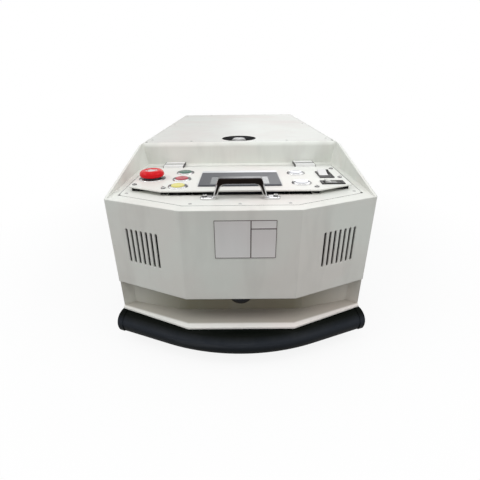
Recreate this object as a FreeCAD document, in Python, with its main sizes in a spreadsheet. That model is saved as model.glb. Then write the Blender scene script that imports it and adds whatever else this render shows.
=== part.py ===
"""Low tow vehicle: it drives under a trolley and lifts a pin into it.

Millimetres. The origin is on the floor under the middle of the vehicle, +Z is up and the
vehicle's front looks along -Y. Heights are above the floor, and "from the front" distances
run back from the flat front face of the upper housing.
"""
import FreeCAD, Part
import math
import os
import re

import Sketcher
from FreeCAD import Placement, Rotation, Vector

# alias, value, meaning
DIMENSIONS = [
    ("front_face", -444, "place of the upper housing's flat front"),
    ("rear_face", 475, "place of the upper housing's rear"),
    ("housing_width", 400, "width of the upper housing"),
    ("front_flat", 164, "width of its flat front"),
    ("corner_setback", 52, "how far the side corners lie behind the front"),
    ("skin", 2, "sheet thickness of the housing and its walls"),
    ("fold", 4, "thickness of a folded sheet edge"),
    ("bend", 2.5, "outer radius of the housing's folds"),
    ("gap", 0.8, "seam round the lid and the cover"),
    ("housing_bottom", 107, "height of the upper housing's lower edge"),
    ("deck_top", 248, "height of the console deck"),
    ("roof_top", 290, "height of the roof"),
    ("recess_back", 280, "console back wall, from the front"),
    ("recess_round", 8, "radius from the back wall to the roof"),
    ("cheek_back", 270, "where a cheek reaches the roof, from the front"),
    ("cheek", 4, "thickness of the console cheeks"),
    ("gusset_side", 51, "corner gusset along the cheek"),
    ("gusset_back", 7, "corner gusset along the back wall"),
    ("louvre_count", 7, "slots in each louvre field"),
    ("louvre_first", 42, "first slot, along the chamfer"),
    ("louvre_pitch", 8.8, "slot spacing"),
    ("louvre_width", 4, "slot width"),
    ("louvre_low", 151, "slots' lower end"),
    ("louvre_high", 207, "slots' upper end"),
    ("cover_front", 295, "top cover's front edge, from the front"),
    ("cover_back", 911, "top cover's rear edge, from the front"),
    ("cover_half", 195, "half of the top cover's width"),
    ("cover_ledge", 14, "ledge that carries the cover"),
    ("well_radius", 37, "round opening over the lift pin"),
    ("lid_half", 184, "half of the console lid's width"),
    ("lid_flat", 160, "width of the lid's straight front edge"),
    ("lid_front", 20.5, "lid's front edge, from the front"),
    ("lid_corner", 71, "lid's side corners, from the front"),
    ("lid_back", 254, "lid's back edge, from the front"),
    ("lid_ledge", 10, "ledge that carries the lid"),
    ("hinge_line", 256, "hinge axis, from the front"),
    ("hinge_height", 250.5, "hinge axis, height"),
    ("hinge_place", 130, "hinge centres, sideways"),
    ("hinge_length", 40, "length of a hinge"),
    ("hinge_leaf", 15.5, "depth of a hinge leaf"),
    ("knuckle", 2.5, "radius of the hinge knuckles"),
    ("hinge_pin", 1.2, "radius of the hinge pins"),
    ("panel_half", 173, "half of the control panel's width"),
    ("panel_flat", 236, "width of the panel's straight front edge"),
    ("panel_front", 63, "panel's front edge, from the front"),
    ("panel_corner", 90, "panel's side corners, from the front"),
    ("panel_back", 208, "panel's back edge, from the front"),
    ("panel_under", 254, "height of the panel's underside"),
    ("panel_top", 256, "height of the panel's face"),
    ("stop_x", -146.5, "emergency stop, sideways"),
    ("stop_y", 135, "emergency stop, from the front"),
    ("mushroom", 20, "radius of the emergency stop's head"),
    ("stop_ring", 22, "radius of the emergency stop's base ring"),
    ("bezel", 15.5, "radius of the button bezels"),
    ("lens", 10.6, "radius of the button caps"),
    ("display_half", 66, "half of the display's width"),
    ("display_front", 84, "display's front edge, from the front"),
    ("display_back", 174, "display's back edge, from the front"),
    ("display_top", 258.5, "height of the display's frame"),
    ("screen_half", 46.5, "half of the screen's width"),
    ("screen_front", 90, "screen's front edge, from the front"),
    ("screen_back", 134, "screen's back edge, from the front"),
    ("nut", 15.2, "radius of the nuts behind the panel"),
    ("power_x", 145, "power rocker, sideways"),
    ("power_y", 148, "power rocker, from the front"),
    ("mode_x", 146, "mode rocker, sideways"),
    ("mode_y", 99.5, "mode rocker, from the front"),
    ("rocker_axis", 256.5, "height of both rockers' axes"),
    ("rocker_tilt", 8, "tilt of a rocker to each side, in degrees"),
    ("handle_line", 49.5, "middle of the lid handle, from the front"),
    ("handle_depth", 14, "depth of the handle's section"),
    ("handle_half", 58.5, "half of the handle's length"),
    ("handle_rise", 31.5, "height of the handle above the lid"),
    ("plate_under", 58, "height of the base plates' underside"),
    ("plate_top", 61, "height of the base plates' face"),
    ("lip_flat", 162, "width of the front lip's straight edge"),
    ("lip_front", 9.4, "how far the lip stands before the front face"),
    ("lip_corner", 44, "the lip's side corners, from the front"),
    ("wall_face", 197, "outer face of the lower side walls"),
    ("wall_top", 232, "height of the lower side walls"),
    ("wall_flange", 15, "width of the flange at their top"),
    ("lower_rear", 472, "place of the lower rear wall's face"),
    ("bay_front", 350, "rear edge of the front base plate, from the front"),
    ("bay_back", 700, "front edge of the rear base plate, from the front"),
    ("slot_depth", 36, "recessed wall of the scanner slot, from the front"),
    ("slot_flat", 200, "width of that wall's straight middle"),
    ("slot_corner_x", 180, "inner corners of the slot, sideways"),
    ("slot_corner_y", 60, "inner corners of the slot, from the front"),
    ("slot_post_y", 50, "outer ends of the slot wall, from the front"),
    ("scanner_place", 30, "scanner axis, from the front"),
    ("scanner_radius", 19, "radius of the scanner's window"),
    ("scanner_low", 84, "lowest point of the scanner"),
    ("rail_width", 25, "width of the frame tubes"),
    ("rail_low", 30, "underside of the frame tubes"),
    ("rail_wall", 2, "wall of the frame tubes"),
    ("rail_front", 75, "front end of the side rails, from the front"),
    ("bumper_reach", 31, "how far the bumper stands before the front face"),
    ("bumper_bend", 308, "radius of the bumper's curved middle"),
    ("bumper_angle", 21.9, "how far its ends turn back, in degrees"),
    ("bumper_half", 195.5, "sideways end of the rubber"),
    ("bumper_low", 26, "underside of the rubber"),
    ("bumper_high", 57, "upper side of the rubber"),
    ("bumper_waist", 38, "height where the rubber bulges most"),
    ("bumper_depth", 35, "depth of the rubber"),
    ("cap_length", 11, "length of the bumper's end caps"),
    ("cap_skin", 0.8, "how far an end cap stands over the rubber"),
    ("carrier_half", 184, "sideways end of the bumper's carrier"),
    ("lift_place", 337, "lift pin, from the front"),
    ("lift_nose", 15, "radius of the lift pin's nose"),
    ("lift_column", 24, "radius of its column"),
    ("lift_shoulder", 250, "height of the column's shoulder at rest"),
    ("lift_foot", 172, "height of the column's foot at rest"),
    ("lift_thread", 7, "radius of the lead screw"),
    ("running", 0.05, "radial clearance of running fits"),
    ("lift_bridge", 160, "underside of the lift's bridge"),
    ("drive_bridge", 196, "underside of the drive unit's bridge"),
    ("bridge_plate", 6, "thickness of the bridges"),
    ("drive_place", 525, "drive unit's swivel axis, from the front"),
    ("drive_wheel", 75, "radius of the drive wheels"),
    ("drive_inner", 104, "inner face of the drive wheels, sideways"),
    ("drive_outer", 140, "outer face of the drive wheels, sideways"),
    ("post_x", 62, "guide posts, sideways"),
    ("post_y", 53, "guide posts, before and behind the swivel axis"),
    ("post", 7, "radius of the guide posts"),
    ("castor_x", 120, "castors, sideways"),
    ("castor_front", 170, "front castors, from the front"),
    ("castor_rear", 800, "rear castors, from the front"),
    ("castor_wheel", 22, "radius of the front castor wheels"),
    ("castor_trail", 18, "trail of the front castors"),
    ("roller_wheel", 25, "radius of the rear castor wheels"),
]
VALUES = {alias: value for alias, value, meaning in DIMENSIONS}

doc = FreeCAD.newDocument("tow_vehicle")
dims = doc.addObject("Spreadsheet::Sheet", "dims")
for row, (alias, value, meaning) in enumerate(DIMENSIONS, start=1):
    dims.set(f"A{row}", meaning)
    dims.set(f"B{row}", str(value))
    dims.setAlias(f"B{row}", alias)
doc.recompute()

NODES = []


# ---------------------------------------------------------------- drawing and feature helpers

def bound(expression):
    """The expression with each name of the sheet written as that cell."""
    return re.sub(r"[a-z_]+", lambda word: f"dims.{word[0]}" if word[0] in VALUES else word[0],
                  str(expression))


def bind(thing, **properties):
    """Tie properties to expressions. A double underscore stands for a dot."""
    for name, expression in properties.items():
        thing.setExpression(name.replace("__", "."), bound(expression))
    return thing


def place(thing, x=0, y=0, z=0, turn=None):
    """Put a piece at x, y, z, turned by a Rotation."""
    if turn:
        thing.Placement = Placement(Vector(), turn)
    return bind(thing, Placement__Base__x=x, Placement__Base__y=y, Placement__Base__z=z)


def node(label, thing):
    """Name a finished piece."""
    thing.Label = label
    NODES.append(thing)
    return thing


def fix(sketch, constraint, expression):
    number = sketch.addConstraint(constraint)
    sketch.setExpression(f"Constraints[{number}]", bound(expression))


def pin_point(sketch, geometry, end, across, up):
    """Tie one point of the drawing to its two coordinates."""
    here = sketch.getPoint(geometry, end)
    fix(sketch, Sketcher.Constraint("DistanceX", -1, 1, geometry, end, here.x), across)
    fix(sketch, Sketcher.Constraint("DistanceY", -1, 1, geometry, end, here.y), up)


def draw_outline(sketch, points):
    """A closed outline of straight edges."""
    first = sketch.GeometryCount
    count = len(points)
    ring = [Vector(90 * math.cos(2 * math.pi * i / count), 90 * math.sin(2 * math.pi * i / count), 0)
            for i in range(count)]
    for i in range(count):
        sketch.addGeometry(Part.LineSegment(ring[i], ring[(i + 1) % count]), False)
    for i in range(count):
        following = first + (i + 1) % count
        sketch.addConstraint(Sketcher.Constraint("Coincident", first + i, 2, following, 1))
    for i, (across, up) in enumerate(points):
        pin_point(sketch, first + i, 1, across, up)


def draw_circle(sketch, across, up, radius):
    circle = sketch.addGeometry(Part.Circle(Vector(20, 20, 0), Vector(0, 0, 1), 9), False)
    pin_point(sketch, circle, 3, across, up)
    fix(sketch, Sketcher.Constraint("Radius", circle, 9), radius)


def draw_slot(sketch, across, low, high, width):
    """An upright slot with round ends."""
    top = sketch.addGeometry(Part.ArcOfCircle(
        Part.Circle(Vector(50, 80, 0), Vector(0, 0, 1), 3), 0, math.pi), False)
    foot = sketch.addGeometry(Part.ArcOfCircle(
        Part.Circle(Vector(50, 20, 0), Vector(0, 0, 1), 3), math.pi, 2 * math.pi), False)
    left = sketch.addGeometry(Part.LineSegment(Vector(47, 80, 0), Vector(47, 20, 0)), False)
    right = sketch.addGeometry(Part.LineSegment(Vector(53, 20, 0), Vector(53, 80, 0)), False)
    for one, end, other, start in ((top, 2, left, 1), (left, 2, foot, 1),
                                   (foot, 2, right, 1), (right, 2, top, 1)):
        sketch.addConstraint(Sketcher.Constraint("Tangent", one, end, other, start))
    sketch.addConstraint(Sketcher.Constraint("Equal", top, foot))
    pin_point(sketch, top, 3, across, f"({high}) - ({width}) / 2")
    pin_point(sketch, foot, 3, across, f"({low}) + ({width}) / 2")
    fix(sketch, Sketcher.Constraint("Radius", top, 3), f"({width}) / 2")


DRAW = {"outline": draw_outline, "circle": draw_circle, "slot": draw_slot}


def attach(body, name, plane, level=0):
    """An empty sketch on one of the body's planes, moved along the plane's axis to level."""
    sketch = body.newObject("Sketcher::SketchObject", name + "_sketch")
    support = next(item for item in body.Origin.OriginFeatures if item.Role == plane + "_Plane")
    sketch.AttachmentSupport = [(support, "")]
    sketch.MapMode = "FlatFace"
    back = "-" if plane == "XZ" else ""
    bind(sketch, AttachmentOffset__Base__z=f"{back}({level})")
    return sketch


def draw(body, name, plane, level, loops):
    sketch = attach(body, name, plane, level)
    for kind, *sizes in loops:
        DRAW[kind](sketch, *sizes)
    return sketch


def pad(body, name, plane, level, depth, *loops, both_ways=False):
    """Add material from level towards +Z, +Y or +X, or both ways from level."""
    feature = body.newObject("PartDesign::Pad", name)
    feature.Profile = draw(body, name, plane, level, loops)
    feature.Reversed = plane == "XZ"
    if both_ways:
        feature.SideType = "Symmetric"
    return bind(feature, Length=depth)


def pocket(body, name, plane, level, depth, *loops, both_ways=False):
    """Remove material from level towards +Z, +Y or +X, or both ways from level."""
    feature = body.newObject("PartDesign::Pocket", name)
    feature.Profile = draw(body, name, plane, level, loops)
    feature.Reversed = plane != "XZ"
    if both_ways:
        feature.SideType = "Symmetric"
    return bind(feature, Length=depth)


def turned(label, *loops):
    """A body turned about its own Z axis from outlines of (radius, height) points."""
    body = doc.addObject("PartDesign::Body", label)
    feature = body.newObject("PartDesign::Revolution", label + "_turned")
    sketch = draw(body, label, "XZ", 0, loops)
    feature.Profile = sketch
    feature.ReferenceAxis = (sketch, ["V_Axis"])
    feature.Angle = 360
    return body


def mirror_feature(body, feature):
    """Repeat a feature on the other side of the body's YZ plane."""
    mirrored = body.newObject("PartDesign::Mirrored", feature.Name + "_mirrored")
    mirrored.Originals = [feature]
    plane = next(item for item in body.Origin.OriginFeatures if item.Role == "YZ_Plane")
    mirrored.MirrorPlane = (plane, [""])
    body.Tip = mirrored


def dress(body, kind, size, chosen):
    """Fillet or chamfer the edges of the body that chosen(edge) picks."""
    doc.recompute()
    base = body.Tip
    names = [f"Edge{i}" for i, edge in enumerate(base.Shape.Edges, start=1) if chosen(edge)]
    if not names:
        raise ValueError(f"{body.Label}: no edge to {kind}")
    feature = body.newObject("PartDesign::" + kind, f"{body.Name}_{kind}")
    feature.Base = (base, names)
    return bind(feature, **{"Radius" if kind == "Fillet" else "Size": size})


def along(edge, axis):
    """Whether a straight edge runs along the axis 0, 1 or 2."""
    span = edge.Vertexes[-1].Point - edge.Vertexes[0].Point
    return span.Length > 0.01 and abs(abs(span[axis]) - span.Length) < 1e-6


def near(value, expected):
    return abs(value - expected) < 0.02


def rectangle(left, right, low, high):
    return "outline", [(left, low), (right, low), (right, high), (left, high)]


def centred(across, up, width, height):
    return rectangle(f"({across}) - ({width}) / 2", f"({across}) + ({width}) / 2",
                     f"({up}) - ({height}) / 2", f"({up}) + ({height}) / 2")


def nose(flat, front, side, corner, back, trim=0):
    """The vehicle's plan outline: a straight front, two slanting corners, straight sides.

    flat is the width of the straight front, and trim moves every edge but the back inwards.
    """
    slant = f"atan((({corner}) - ({front})) / (({side}) - ({flat}) / 2))"
    half_front = f"({flat}) / 2 - ({trim}) * tan({slant} / 2)"
    half_side = f"({side}) - ({trim})"
    front_y = f"front_face + ({front}) + ({trim})"
    corner_y = f"front_face + ({corner}) + ({trim}) * tan(45 deg - {slant} / 2)"
    back_y = f"front_face + ({back})"
    return "outline", [(f"-({half_front})", front_y), (half_front, front_y),
                       (half_side, corner_y), (half_side, back_y),
                       (f"-({half_side})", back_y), (f"-({half_side})", corner_y)]


def block(name, x, y, z, width, depth, height):
    """A box centred on x and y, standing on z."""
    box = bind(doc.addObject("Part::Box", name), Length=width, Width=depth, Height=height)
    return place(box, f"({x}) - ({width}) / 2", f"({y}) - ({depth}) / 2", z)


ALONG_X = Rotation(Vector(0, 1, 0), 90)
ALONG_Z = Rotation()


def rod(name, x, y, z, radius, length, turn=ALONG_Z):
    """A cylinder from x, y, z along +Z or +X."""
    cylinder = bind(doc.addObject("Part::Cylinder", name), Radius=radius, Height=length)
    return place(cylinder, x, y, z, turn)


def fuse(name, *things):
    joined = doc.addObject("Part::MultiFuse", name)
    joined.Shapes = list(things)
    joined.Refine = True
    return joined


def cut(name, base, *tools):
    trimmed = doc.addObject("Part::Cut", name)
    trimmed.Base = base
    trimmed.Tool = tools[0] if len(tools) == 1 else group(name + "_tools", *tools)
    return trimmed


def group(name, *things):
    """Separate solids that share one node."""
    together = doc.addObject("Part::Compound", name)
    together.Links = list(things)
    return together


def mirror(name, thing):
    """The same piece on the other side of the vehicle."""
    twin = doc.addObject("Part::Mirroring", name)
    twin.Source = thing
    twin.Normal = Vector(1, 0, 0)
    return twin


# ---------------------------------------------------------------- frame and lower body

def base_plates():
    """The floor of the vehicle, in two plates with the drive unit's bay between them."""
    front = doc.addObject("PartDesign::Body", "base_plate_front")
    pad(front, "front_plate", "XY", "plate_under", "plate_top - plate_under",
        nose("lip_flat", "-lip_front", "wall_face", "lip_corner", "bay_front"))
    node("base_plate_front", front)
    rear = doc.addObject("PartDesign::Body", "base_plate_rear")
    pad(rear, "rear_plate", "XY", "plate_under", "plate_top - plate_under",
        rectangle("-wall_face", "wall_face", "front_face + bay_back", "lower_rear"))
    node("base_plate_rear", rear)


def frame_tubes():
    """Square steel tube, welded under the plates: two side rails and four cross tubes."""
    rail_middle = "wall_face - skin - rail_width / 2"
    tube_height = "plate_under - rail_low"
    tube_middle = "(plate_under + rail_low) / 2"
    rail = doc.addObject("PartDesign::Body", "side_rail")
    pad(rail, "rail", "XZ", "front_face + rail_front", "lower_rear - 2 - front_face - rail_front",
        centred(rail_middle, tube_middle, "rail_width", tube_height),
        centred(rail_middle, tube_middle, "rail_width - 2 * rail_wall",
                f"{tube_height} - 2 * rail_wall"))
    tubes = [rail, mirror("side_rail_twin", rail)]
    middles = ("rail_front + rail_width / 2", "bay_front - rail_width / 2",
               "bay_back + rail_width / 2", "lower_rear - 2 - front_face - rail_width / 2")
    for number, middle in enumerate(middles):
        tube = doc.addObject("PartDesign::Body", f"cross_tube_{number}")
        middle = f"front_face + {middle}"
        pad(tube, f"cross_{number}", "YZ", 0, "2 * (wall_face - skin - rail_width)",
            centred(middle, tube_middle, "rail_width", tube_height),
            centred(middle, tube_middle, "rail_width - 2 * rail_wall",
                    f"{tube_height} - 2 * rail_wall"), both_ways=True)
        tubes.append(tube)
    node("frame_tubes", group("frame_tube_group", *tubes))


def lower_walls():
    """Folded side walls that carry the housing and the bridges, and the rear wall."""
    inner = "wall_face - skin"
    side = doc.addObject("PartDesign::Body", "lower_side_wall")
    pad(side, "side_wall", "XZ", "front_face + slot_post_y + 3.4",
        "lower_rear - front_face - slot_post_y - 3.4",
        ("outline", [("wall_face", "plate_top"), ("wall_face", "wall_top"),
                     ("wall_face - wall_flange", "wall_top"),
                     ("wall_face - wall_flange", "wall_top - skin"),
                     (inner, "wall_top - skin"), (inner, "plate_top")]))
    rear = block("lower_rear_wall", 0, "lower_rear - skin / 2", "plate_top",
                 f"2 * ({inner})", "skin", "housing_bottom + 60 - plate_top")
    node("lower_walls", group("lower_wall_group", side, mirror("side_wall_twin", side), rear))


def scanner_bay():
    """The wall and ceiling of the slot that the scanner looks out of."""
    bay = doc.addObject("PartDesign::Body", "scanner_bay")
    front_side = [("wall_face", "slot_post_y"), ("slot_corner_x", "slot_corner_y"),
                  ("slot_flat / 2", "slot_depth")]
    right = [(x, f"front_face + {y}") for x, y in front_side]
    left = [(f"-({x})", y) for x, y in reversed(right)]
    behind = [(x, f"{y} + skin * 1.1") for x, y in right + left]
    pad(bay, "bay_wall", "XY", "plate_top", "housing_bottom - plate_top",
        ("outline", right + left + behind[::-1]))
    pad(bay, "bay_ceiling", "XY", "housing_bottom", "skin",
        nose("front_flat", "skin + 1", "wall_face - skin", "corner_setback + 3",
             "slot_corner_y + 4"))
    pocket(bay, "scanner_window_gap", "XY", "scanner_low - 2", "housing_bottom + 3 - scanner_low",
           centred(0, "front_face + slot_depth", "2 * scanner_radius + 2", 10))
    pocket(bay, "scanner_neck_hole", "XY", "housing_bottom - 1", 6,
           ("circle", 0, "front_face + scanner_place", "scanner_radius - 2"))
    node("scanner_bay", bay)


def bumper_spine(body, name, half):
    """One half of the bumper's outermost line in plan: an arc, then a straight end."""
    sketch = attach(body, name, "XY", 0)
    bend = VALUES["bumper_bend"]
    angle = math.radians(VALUES["bumper_angle"])
    apex = Vector(0, VALUES["front_face"] - VALUES["bumper_reach"], 0)
    centre = apex + Vector(0, bend, 0)
    turn_end = centre + Vector(bend * math.sin(angle), -bend * math.cos(angle), 0)
    reach = 60
    straight_end = turn_end + Vector(reach * math.cos(angle), reach * math.sin(angle), 0)
    circle = Part.Circle(centre, Vector(0, 0, 1), bend)
    arc = sketch.addGeometry(
        Part.ArcOfCircle(circle, -math.pi / 2, -math.pi / 2 + angle), False)
    line = sketch.addGeometry(Part.LineSegment(turn_end, straight_end), False)
    sketch.addConstraint(Sketcher.Constraint("Tangent", arc, 2, line, 1))
    pin_point(sketch, arc, 3, 0, "front_face - bumper_reach + bumper_bend")
    fix(sketch, Sketcher.Constraint("Radius", arc, bend), "bumper_bend")
    sketch.addConstraint(Sketcher.Constraint("PointOnObject", arc, 1, -2))
    fix(sketch, Sketcher.Constraint("Angle", line, angle), "bumper_angle * 1 deg")
    fix(sketch, Sketcher.Constraint("DistanceX", -1, 1, line, 2, straight_end.x), half)
    return sketch


def bumper_section(sketch, grow):
    """The D section. It lies in depth behind the spine and in height."""
    depth, low, high, waist = (VALUES[key] for key in
                               ("bumper_depth", "bumper_low", "bumper_high", "bumper_waist"))
    crown = high - waist
    toe = 3
    belly = (toe ** 2 + (waist - low) ** 2) / (2 * toe)
    crown_circle = Part.Circle(Vector(crown, waist, 0), Vector(0, 0, 1), crown)
    belly_circle = Part.Circle(Vector(belly, waist, 0), Vector(0, 0, 1), belly)
    sweep = math.asin((waist - low) / belly)
    top_arc = sketch.addGeometry(Part.ArcOfCircle(crown_circle, math.pi / 2, math.pi), False)
    low_arc = sketch.addGeometry(
        Part.ArcOfCircle(belly_circle, math.pi, math.pi + sweep), False)
    corners = [Vector(toe, low, 0), Vector(depth, low, 0), Vector(depth, high, 0),
               Vector(crown, high, 0)]
    edges = [sketch.addGeometry(Part.LineSegment(a, b), False)
             for a, b in zip(corners, corners[1:])]
    chain = [(top_arc, 2, low_arc, 1), (low_arc, 2, edges[0], 1), (edges[0], 2, edges[1], 1),
             (edges[1], 2, edges[2], 1), (edges[2], 2, top_arc, 1)]
    for one, end, other, start in chain:
        sketch.addConstraint(Sketcher.Constraint("Coincident", one, end, other, start))
    pin_point(sketch, edges[2], 2, "bumper_high - bumper_waist", f"bumper_high + {grow}")
    pin_point(sketch, low_arc, 1, f"-{grow}", "bumper_waist")
    pin_point(sketch, edges[0], 1, f"{toe} - {grow}", f"bumper_low - {grow}")
    pin_point(sketch, edges[1], 1, "bumper_depth", f"bumper_low - {grow}")
    pin_point(sketch, edges[1], 2, "bumper_depth", f"bumper_high + {grow}")
    fix(sketch, Sketcher.Constraint("Radius", top_arc, crown), f"{crown} + {grow}")
    fix(sketch, Sketcher.Constraint("Radius", low_arc, belly), f"{belly} + {grow}")


def sweep_half(body, name, half, drawn):
    """Sweep a section along the bumper's spine and repeat it on the other side."""
    spine = bumper_spine(body, name + "_spine", half)
    section = attach(body, name + "_section", "YZ", 0)
    bind(section, AttachmentOffset__Base__x="front_face - bumper_reach")
    drawn(section)
    sweep = body.newObject("PartDesign::AdditivePipe", name)
    sweep.Profile = section
    sweep.Spine = (spine, [])
    doc.recompute()
    mirror_feature(body, sweep)


def bumper():
    """The soft bumper, its end caps, and the steel strip that carries it."""
    rubber = doc.addObject("PartDesign::Body", "bumper_rubber")
    sweep_half(rubber, "rubber_strip", "bumper_half", lambda sketch: bumper_section(sketch, "0"))
    node("bumper_rubber", rubber)

    cap = doc.addObject("PartDesign::Body", "bumper_end_cap")
    section = attach(cap, "cap", "YZ", 0)
    bumper_section(section, "cap_skin")
    turn_x = "bumper_bend * sin(bumper_angle)"
    turn_y = "front_face - bumper_reach + bumper_bend * (1 - cos(bumper_angle))"
    section.AttachmentOffset = Placement(Vector(), Rotation(Vector(0, 1, 0), 20))
    bind(section, AttachmentOffset__Rotation__Angle="bumper_angle",
         AttachmentOffset__Base__z="bumper_half",
         AttachmentOffset__Base__x=f"{turn_y} + (bumper_half - {turn_x}) * tan(bumper_angle)")
    feature = cap.newObject("PartDesign::Pad", "cap_length")
    feature.Profile = section
    bind(feature, Length="cap_length")
    outward = Vector(math.cos(math.radians(VALUES["bumper_angle"])),
                     math.sin(math.radians(VALUES["bumper_angle"])), 0)
    doc.recompute()
    end = max(vertex.Point * outward for vertex in feature.Shape.Vertexes)
    dress(cap, "Fillet", 2, lambda edge: all(near(v.Point * outward, end) for v in edge.Vertexes))
    node("bumper_end_caps", group("end_cap_pair", cap, mirror("end_cap_twin", cap)))

    carrier = doc.addObject("PartDesign::Body", "bumper_carrier")
    sweep_half(carrier, "carrier_strip", "carrier_half", lambda sketch: draw_outline(sketch, [
        ("bumper_depth", "bumper_low + 2"), ("bumper_depth + fold", "bumper_low + 2"),
        ("bumper_depth + fold", "bumper_high - 1"), ("bumper_depth", "bumper_high - 1")]))
    strip = "front_face - bumper_reach + bumper_depth + fold / 2 + bumper_bend"
    for side in ("-", ""):
        pad(carrier, "arm" + ("_left" if side else "_right"), "XY", "rail_low + 2", 22,
            ("outline", [(f"{side}{x}", f"{strip} - sqrt(bumper_bend ^ 2 - {x} ^ 2)")
                         for x in (50, 80)]
             + [(f"{side}{x}", "front_face + rail_front") for x in (80, 50)]))
    node("bumper_carrier", carrier)


def magnetic_sensor():
    """The bar that reads the magnetic line in the floor, on two spacers."""
    bar = doc.addObject("PartDesign::Body", "magnetic_sensor")
    pad(bar, "sensor_bar", "XY", "rail_low + 4", 14, centred(0, "front_face + 265", 180, 30))
    for side in (-60, 60):
        pad(bar, f"spacer_{'left' if side < 0 else 'right'}", "XY", "rail_low + 18",
            "plate_under - rail_low - 18", centred(side, "front_face + 265", 20, 20))
    node("magnetic_sensor", bar)


# ---------------------------------------------------------------- upper housing and cover

def upper_housing():
    """The folded and welded housing with the open console, the roof frame and the louvres."""
    shell = doc.addObject("PartDesign::Body", "housing_shell")
    half = "housing_width / 2"
    front = VALUES["front_face"]
    back_wall = front + VALUES["recess_back"]
    pad(shell, "hull", "XY", "housing_bottom", "roof_top - housing_bottom",
        nose("front_flat", 0, half, "corner_setback", "rear_face - front_face"))
    dress(shell, "Fillet", "bend", lambda edge: along(edge, 2))
    pocket(shell, "over_the_cheeks", "YZ", 0, "housing_width + 20", ("outline", [
        ("front_face - 10", "deck_top"), ("front_face + corner_setback", "deck_top"),
        ("front_face + cheek_back", "roof_top"), ("front_face + cheek_back", "roof_top + 10"),
        ("front_face - 10", "roof_top + 10")]), both_ways=True)
    pocket(shell, "console_space", "YZ", 0, "housing_width - 2 * cheek",
           rectangle("front_face - 10", "front_face + recess_back", "deck_top", "roof_top + 10"),
           both_ways=True)
    dress(shell, "Fillet", "recess_round", lambda edge: along(edge, 0)
          and near(edge.CenterOfMass.y, back_wall) and near(edge.CenterOfMass.z, VALUES["roof_top"]))
    dress(shell, "Fillet", "bend", lambda edge: near(edge.BoundBox.ZLength, 0)
          and near(edge.BoundBox.ZMax, VALUES["roof_top"])
          and (near(abs(edge.CenterOfMass.x), VALUES["housing_width"] / 2)
               or edge.BoundBox.YMin > VALUES["rear_face"] - VALUES["bend"] - 1))
    pocket(shell, "rear_hollow", "XY", "housing_bottom - 1", "roof_top - fold - housing_bottom + 1",
           rectangle(f"-({half} - skin)", f"{half} - skin", "front_face + recess_back + skin",
                     "rear_face - skin"))
    pocket(shell, "front_hollow", "XY", "housing_bottom - 1", "deck_top - fold - housing_bottom + 1",
           nose("front_flat", 0, half, "corner_setback", "recess_back + 2 * skin", trim="skin"))
    dress(shell, "Fillet", "recess_round / 2", lambda edge: along(edge, 0)
          and near(edge.CenterOfMass.y, back_wall + VALUES["skin"])
          and near(edge.CenterOfMass.z, VALUES["roof_top"] - VALUES["fold"]))
    cover_rebate = rectangle("-(cover_half + gap)", "cover_half + gap",
                             "front_face + cover_front - gap", "front_face + cover_back + gap")
    cover_hole = rectangle("-(cover_half - cover_ledge)", "cover_half - cover_ledge",
                           "front_face + cover_front + cover_ledge",
                           "front_face + cover_back - cover_ledge")
    pocket(shell, "cover_rebate", "XY", "roof_top - skin", 10, cover_rebate)
    pocket(shell, "cover_opening", "XY", "roof_top - fold - 1", 10, cover_hole)
    for side in ("-", ""):
        pocket(shell, "cover_relief" + ("_left" if side else "_right"), "XY",
               "roof_top - fold - 1", 10,
               ("circle", f"{side}(cover_half - 1)", "front_face + cover_front + 1", 2.6))
        pocket(shell, "lid_relief" + ("_left" if side else "_right"), "XY",
               "deck_top - fold - 1", 10, ("circle", *lid_corner(side)))
    pocket(shell, "well_notch", "XY", "roof_top - fold - 1", 10,
           ("circle", 0, "front_face + lift_place", "well_radius + 3"))
    pocket(shell, "lid_rebate", "XY", "deck_top - skin", 10,
           nose("lid_flat", "lid_front", "lid_half", "lid_corner", "lid_back + 3 + gap",
                trim="-gap"))
    pocket(shell, "lid_opening", "XY", "deck_top - fold - 1", 10,
           nose("lid_flat", "lid_front", "lid_half", "lid_corner", "lid_back - lid_ledge",
                trim="lid_ledge"))
    louvres(shell)
    gusset = corner_gusset()
    node("upper_housing", fuse("housing", shell, gusset, mirror("gusset_twin", gusset)))


def lid_corner(side):
    """The round relief at a side corner of the lid."""
    return f"{side}(lid_half - 0.6)", "front_face + lid_corner + 0.6", 2.2


def louvres(shell):
    """Upright cooling slots through both slanting corners of the front."""
    sketch = attach(shell, "louvre", "XZ", "front_face")
    sketch.AttachmentOffset = Placement(Vector(), Rotation(Vector(0, 1, 0), 20))
    bind(sketch, AttachmentOffset__Base__x="front_flat / 2",
         AttachmentOffset__Rotation__Angle="atan(corner_setback / (housing_width / 2"
                                           " - front_flat / 2))")
    for number in range(VALUES["louvre_count"]):
        draw_slot(sketch, f"louvre_first + {number} * louvre_pitch", "louvre_low", "louvre_high",
                  "louvre_width")
    slots = shell.newObject("PartDesign::Pocket", "louvre_slots")
    slots.Profile = sketch
    slots.SideType = "Symmetric"
    bind(slots, Length="4 * skin")
    doc.recompute()
    mirror_feature(shell, slots)


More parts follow.
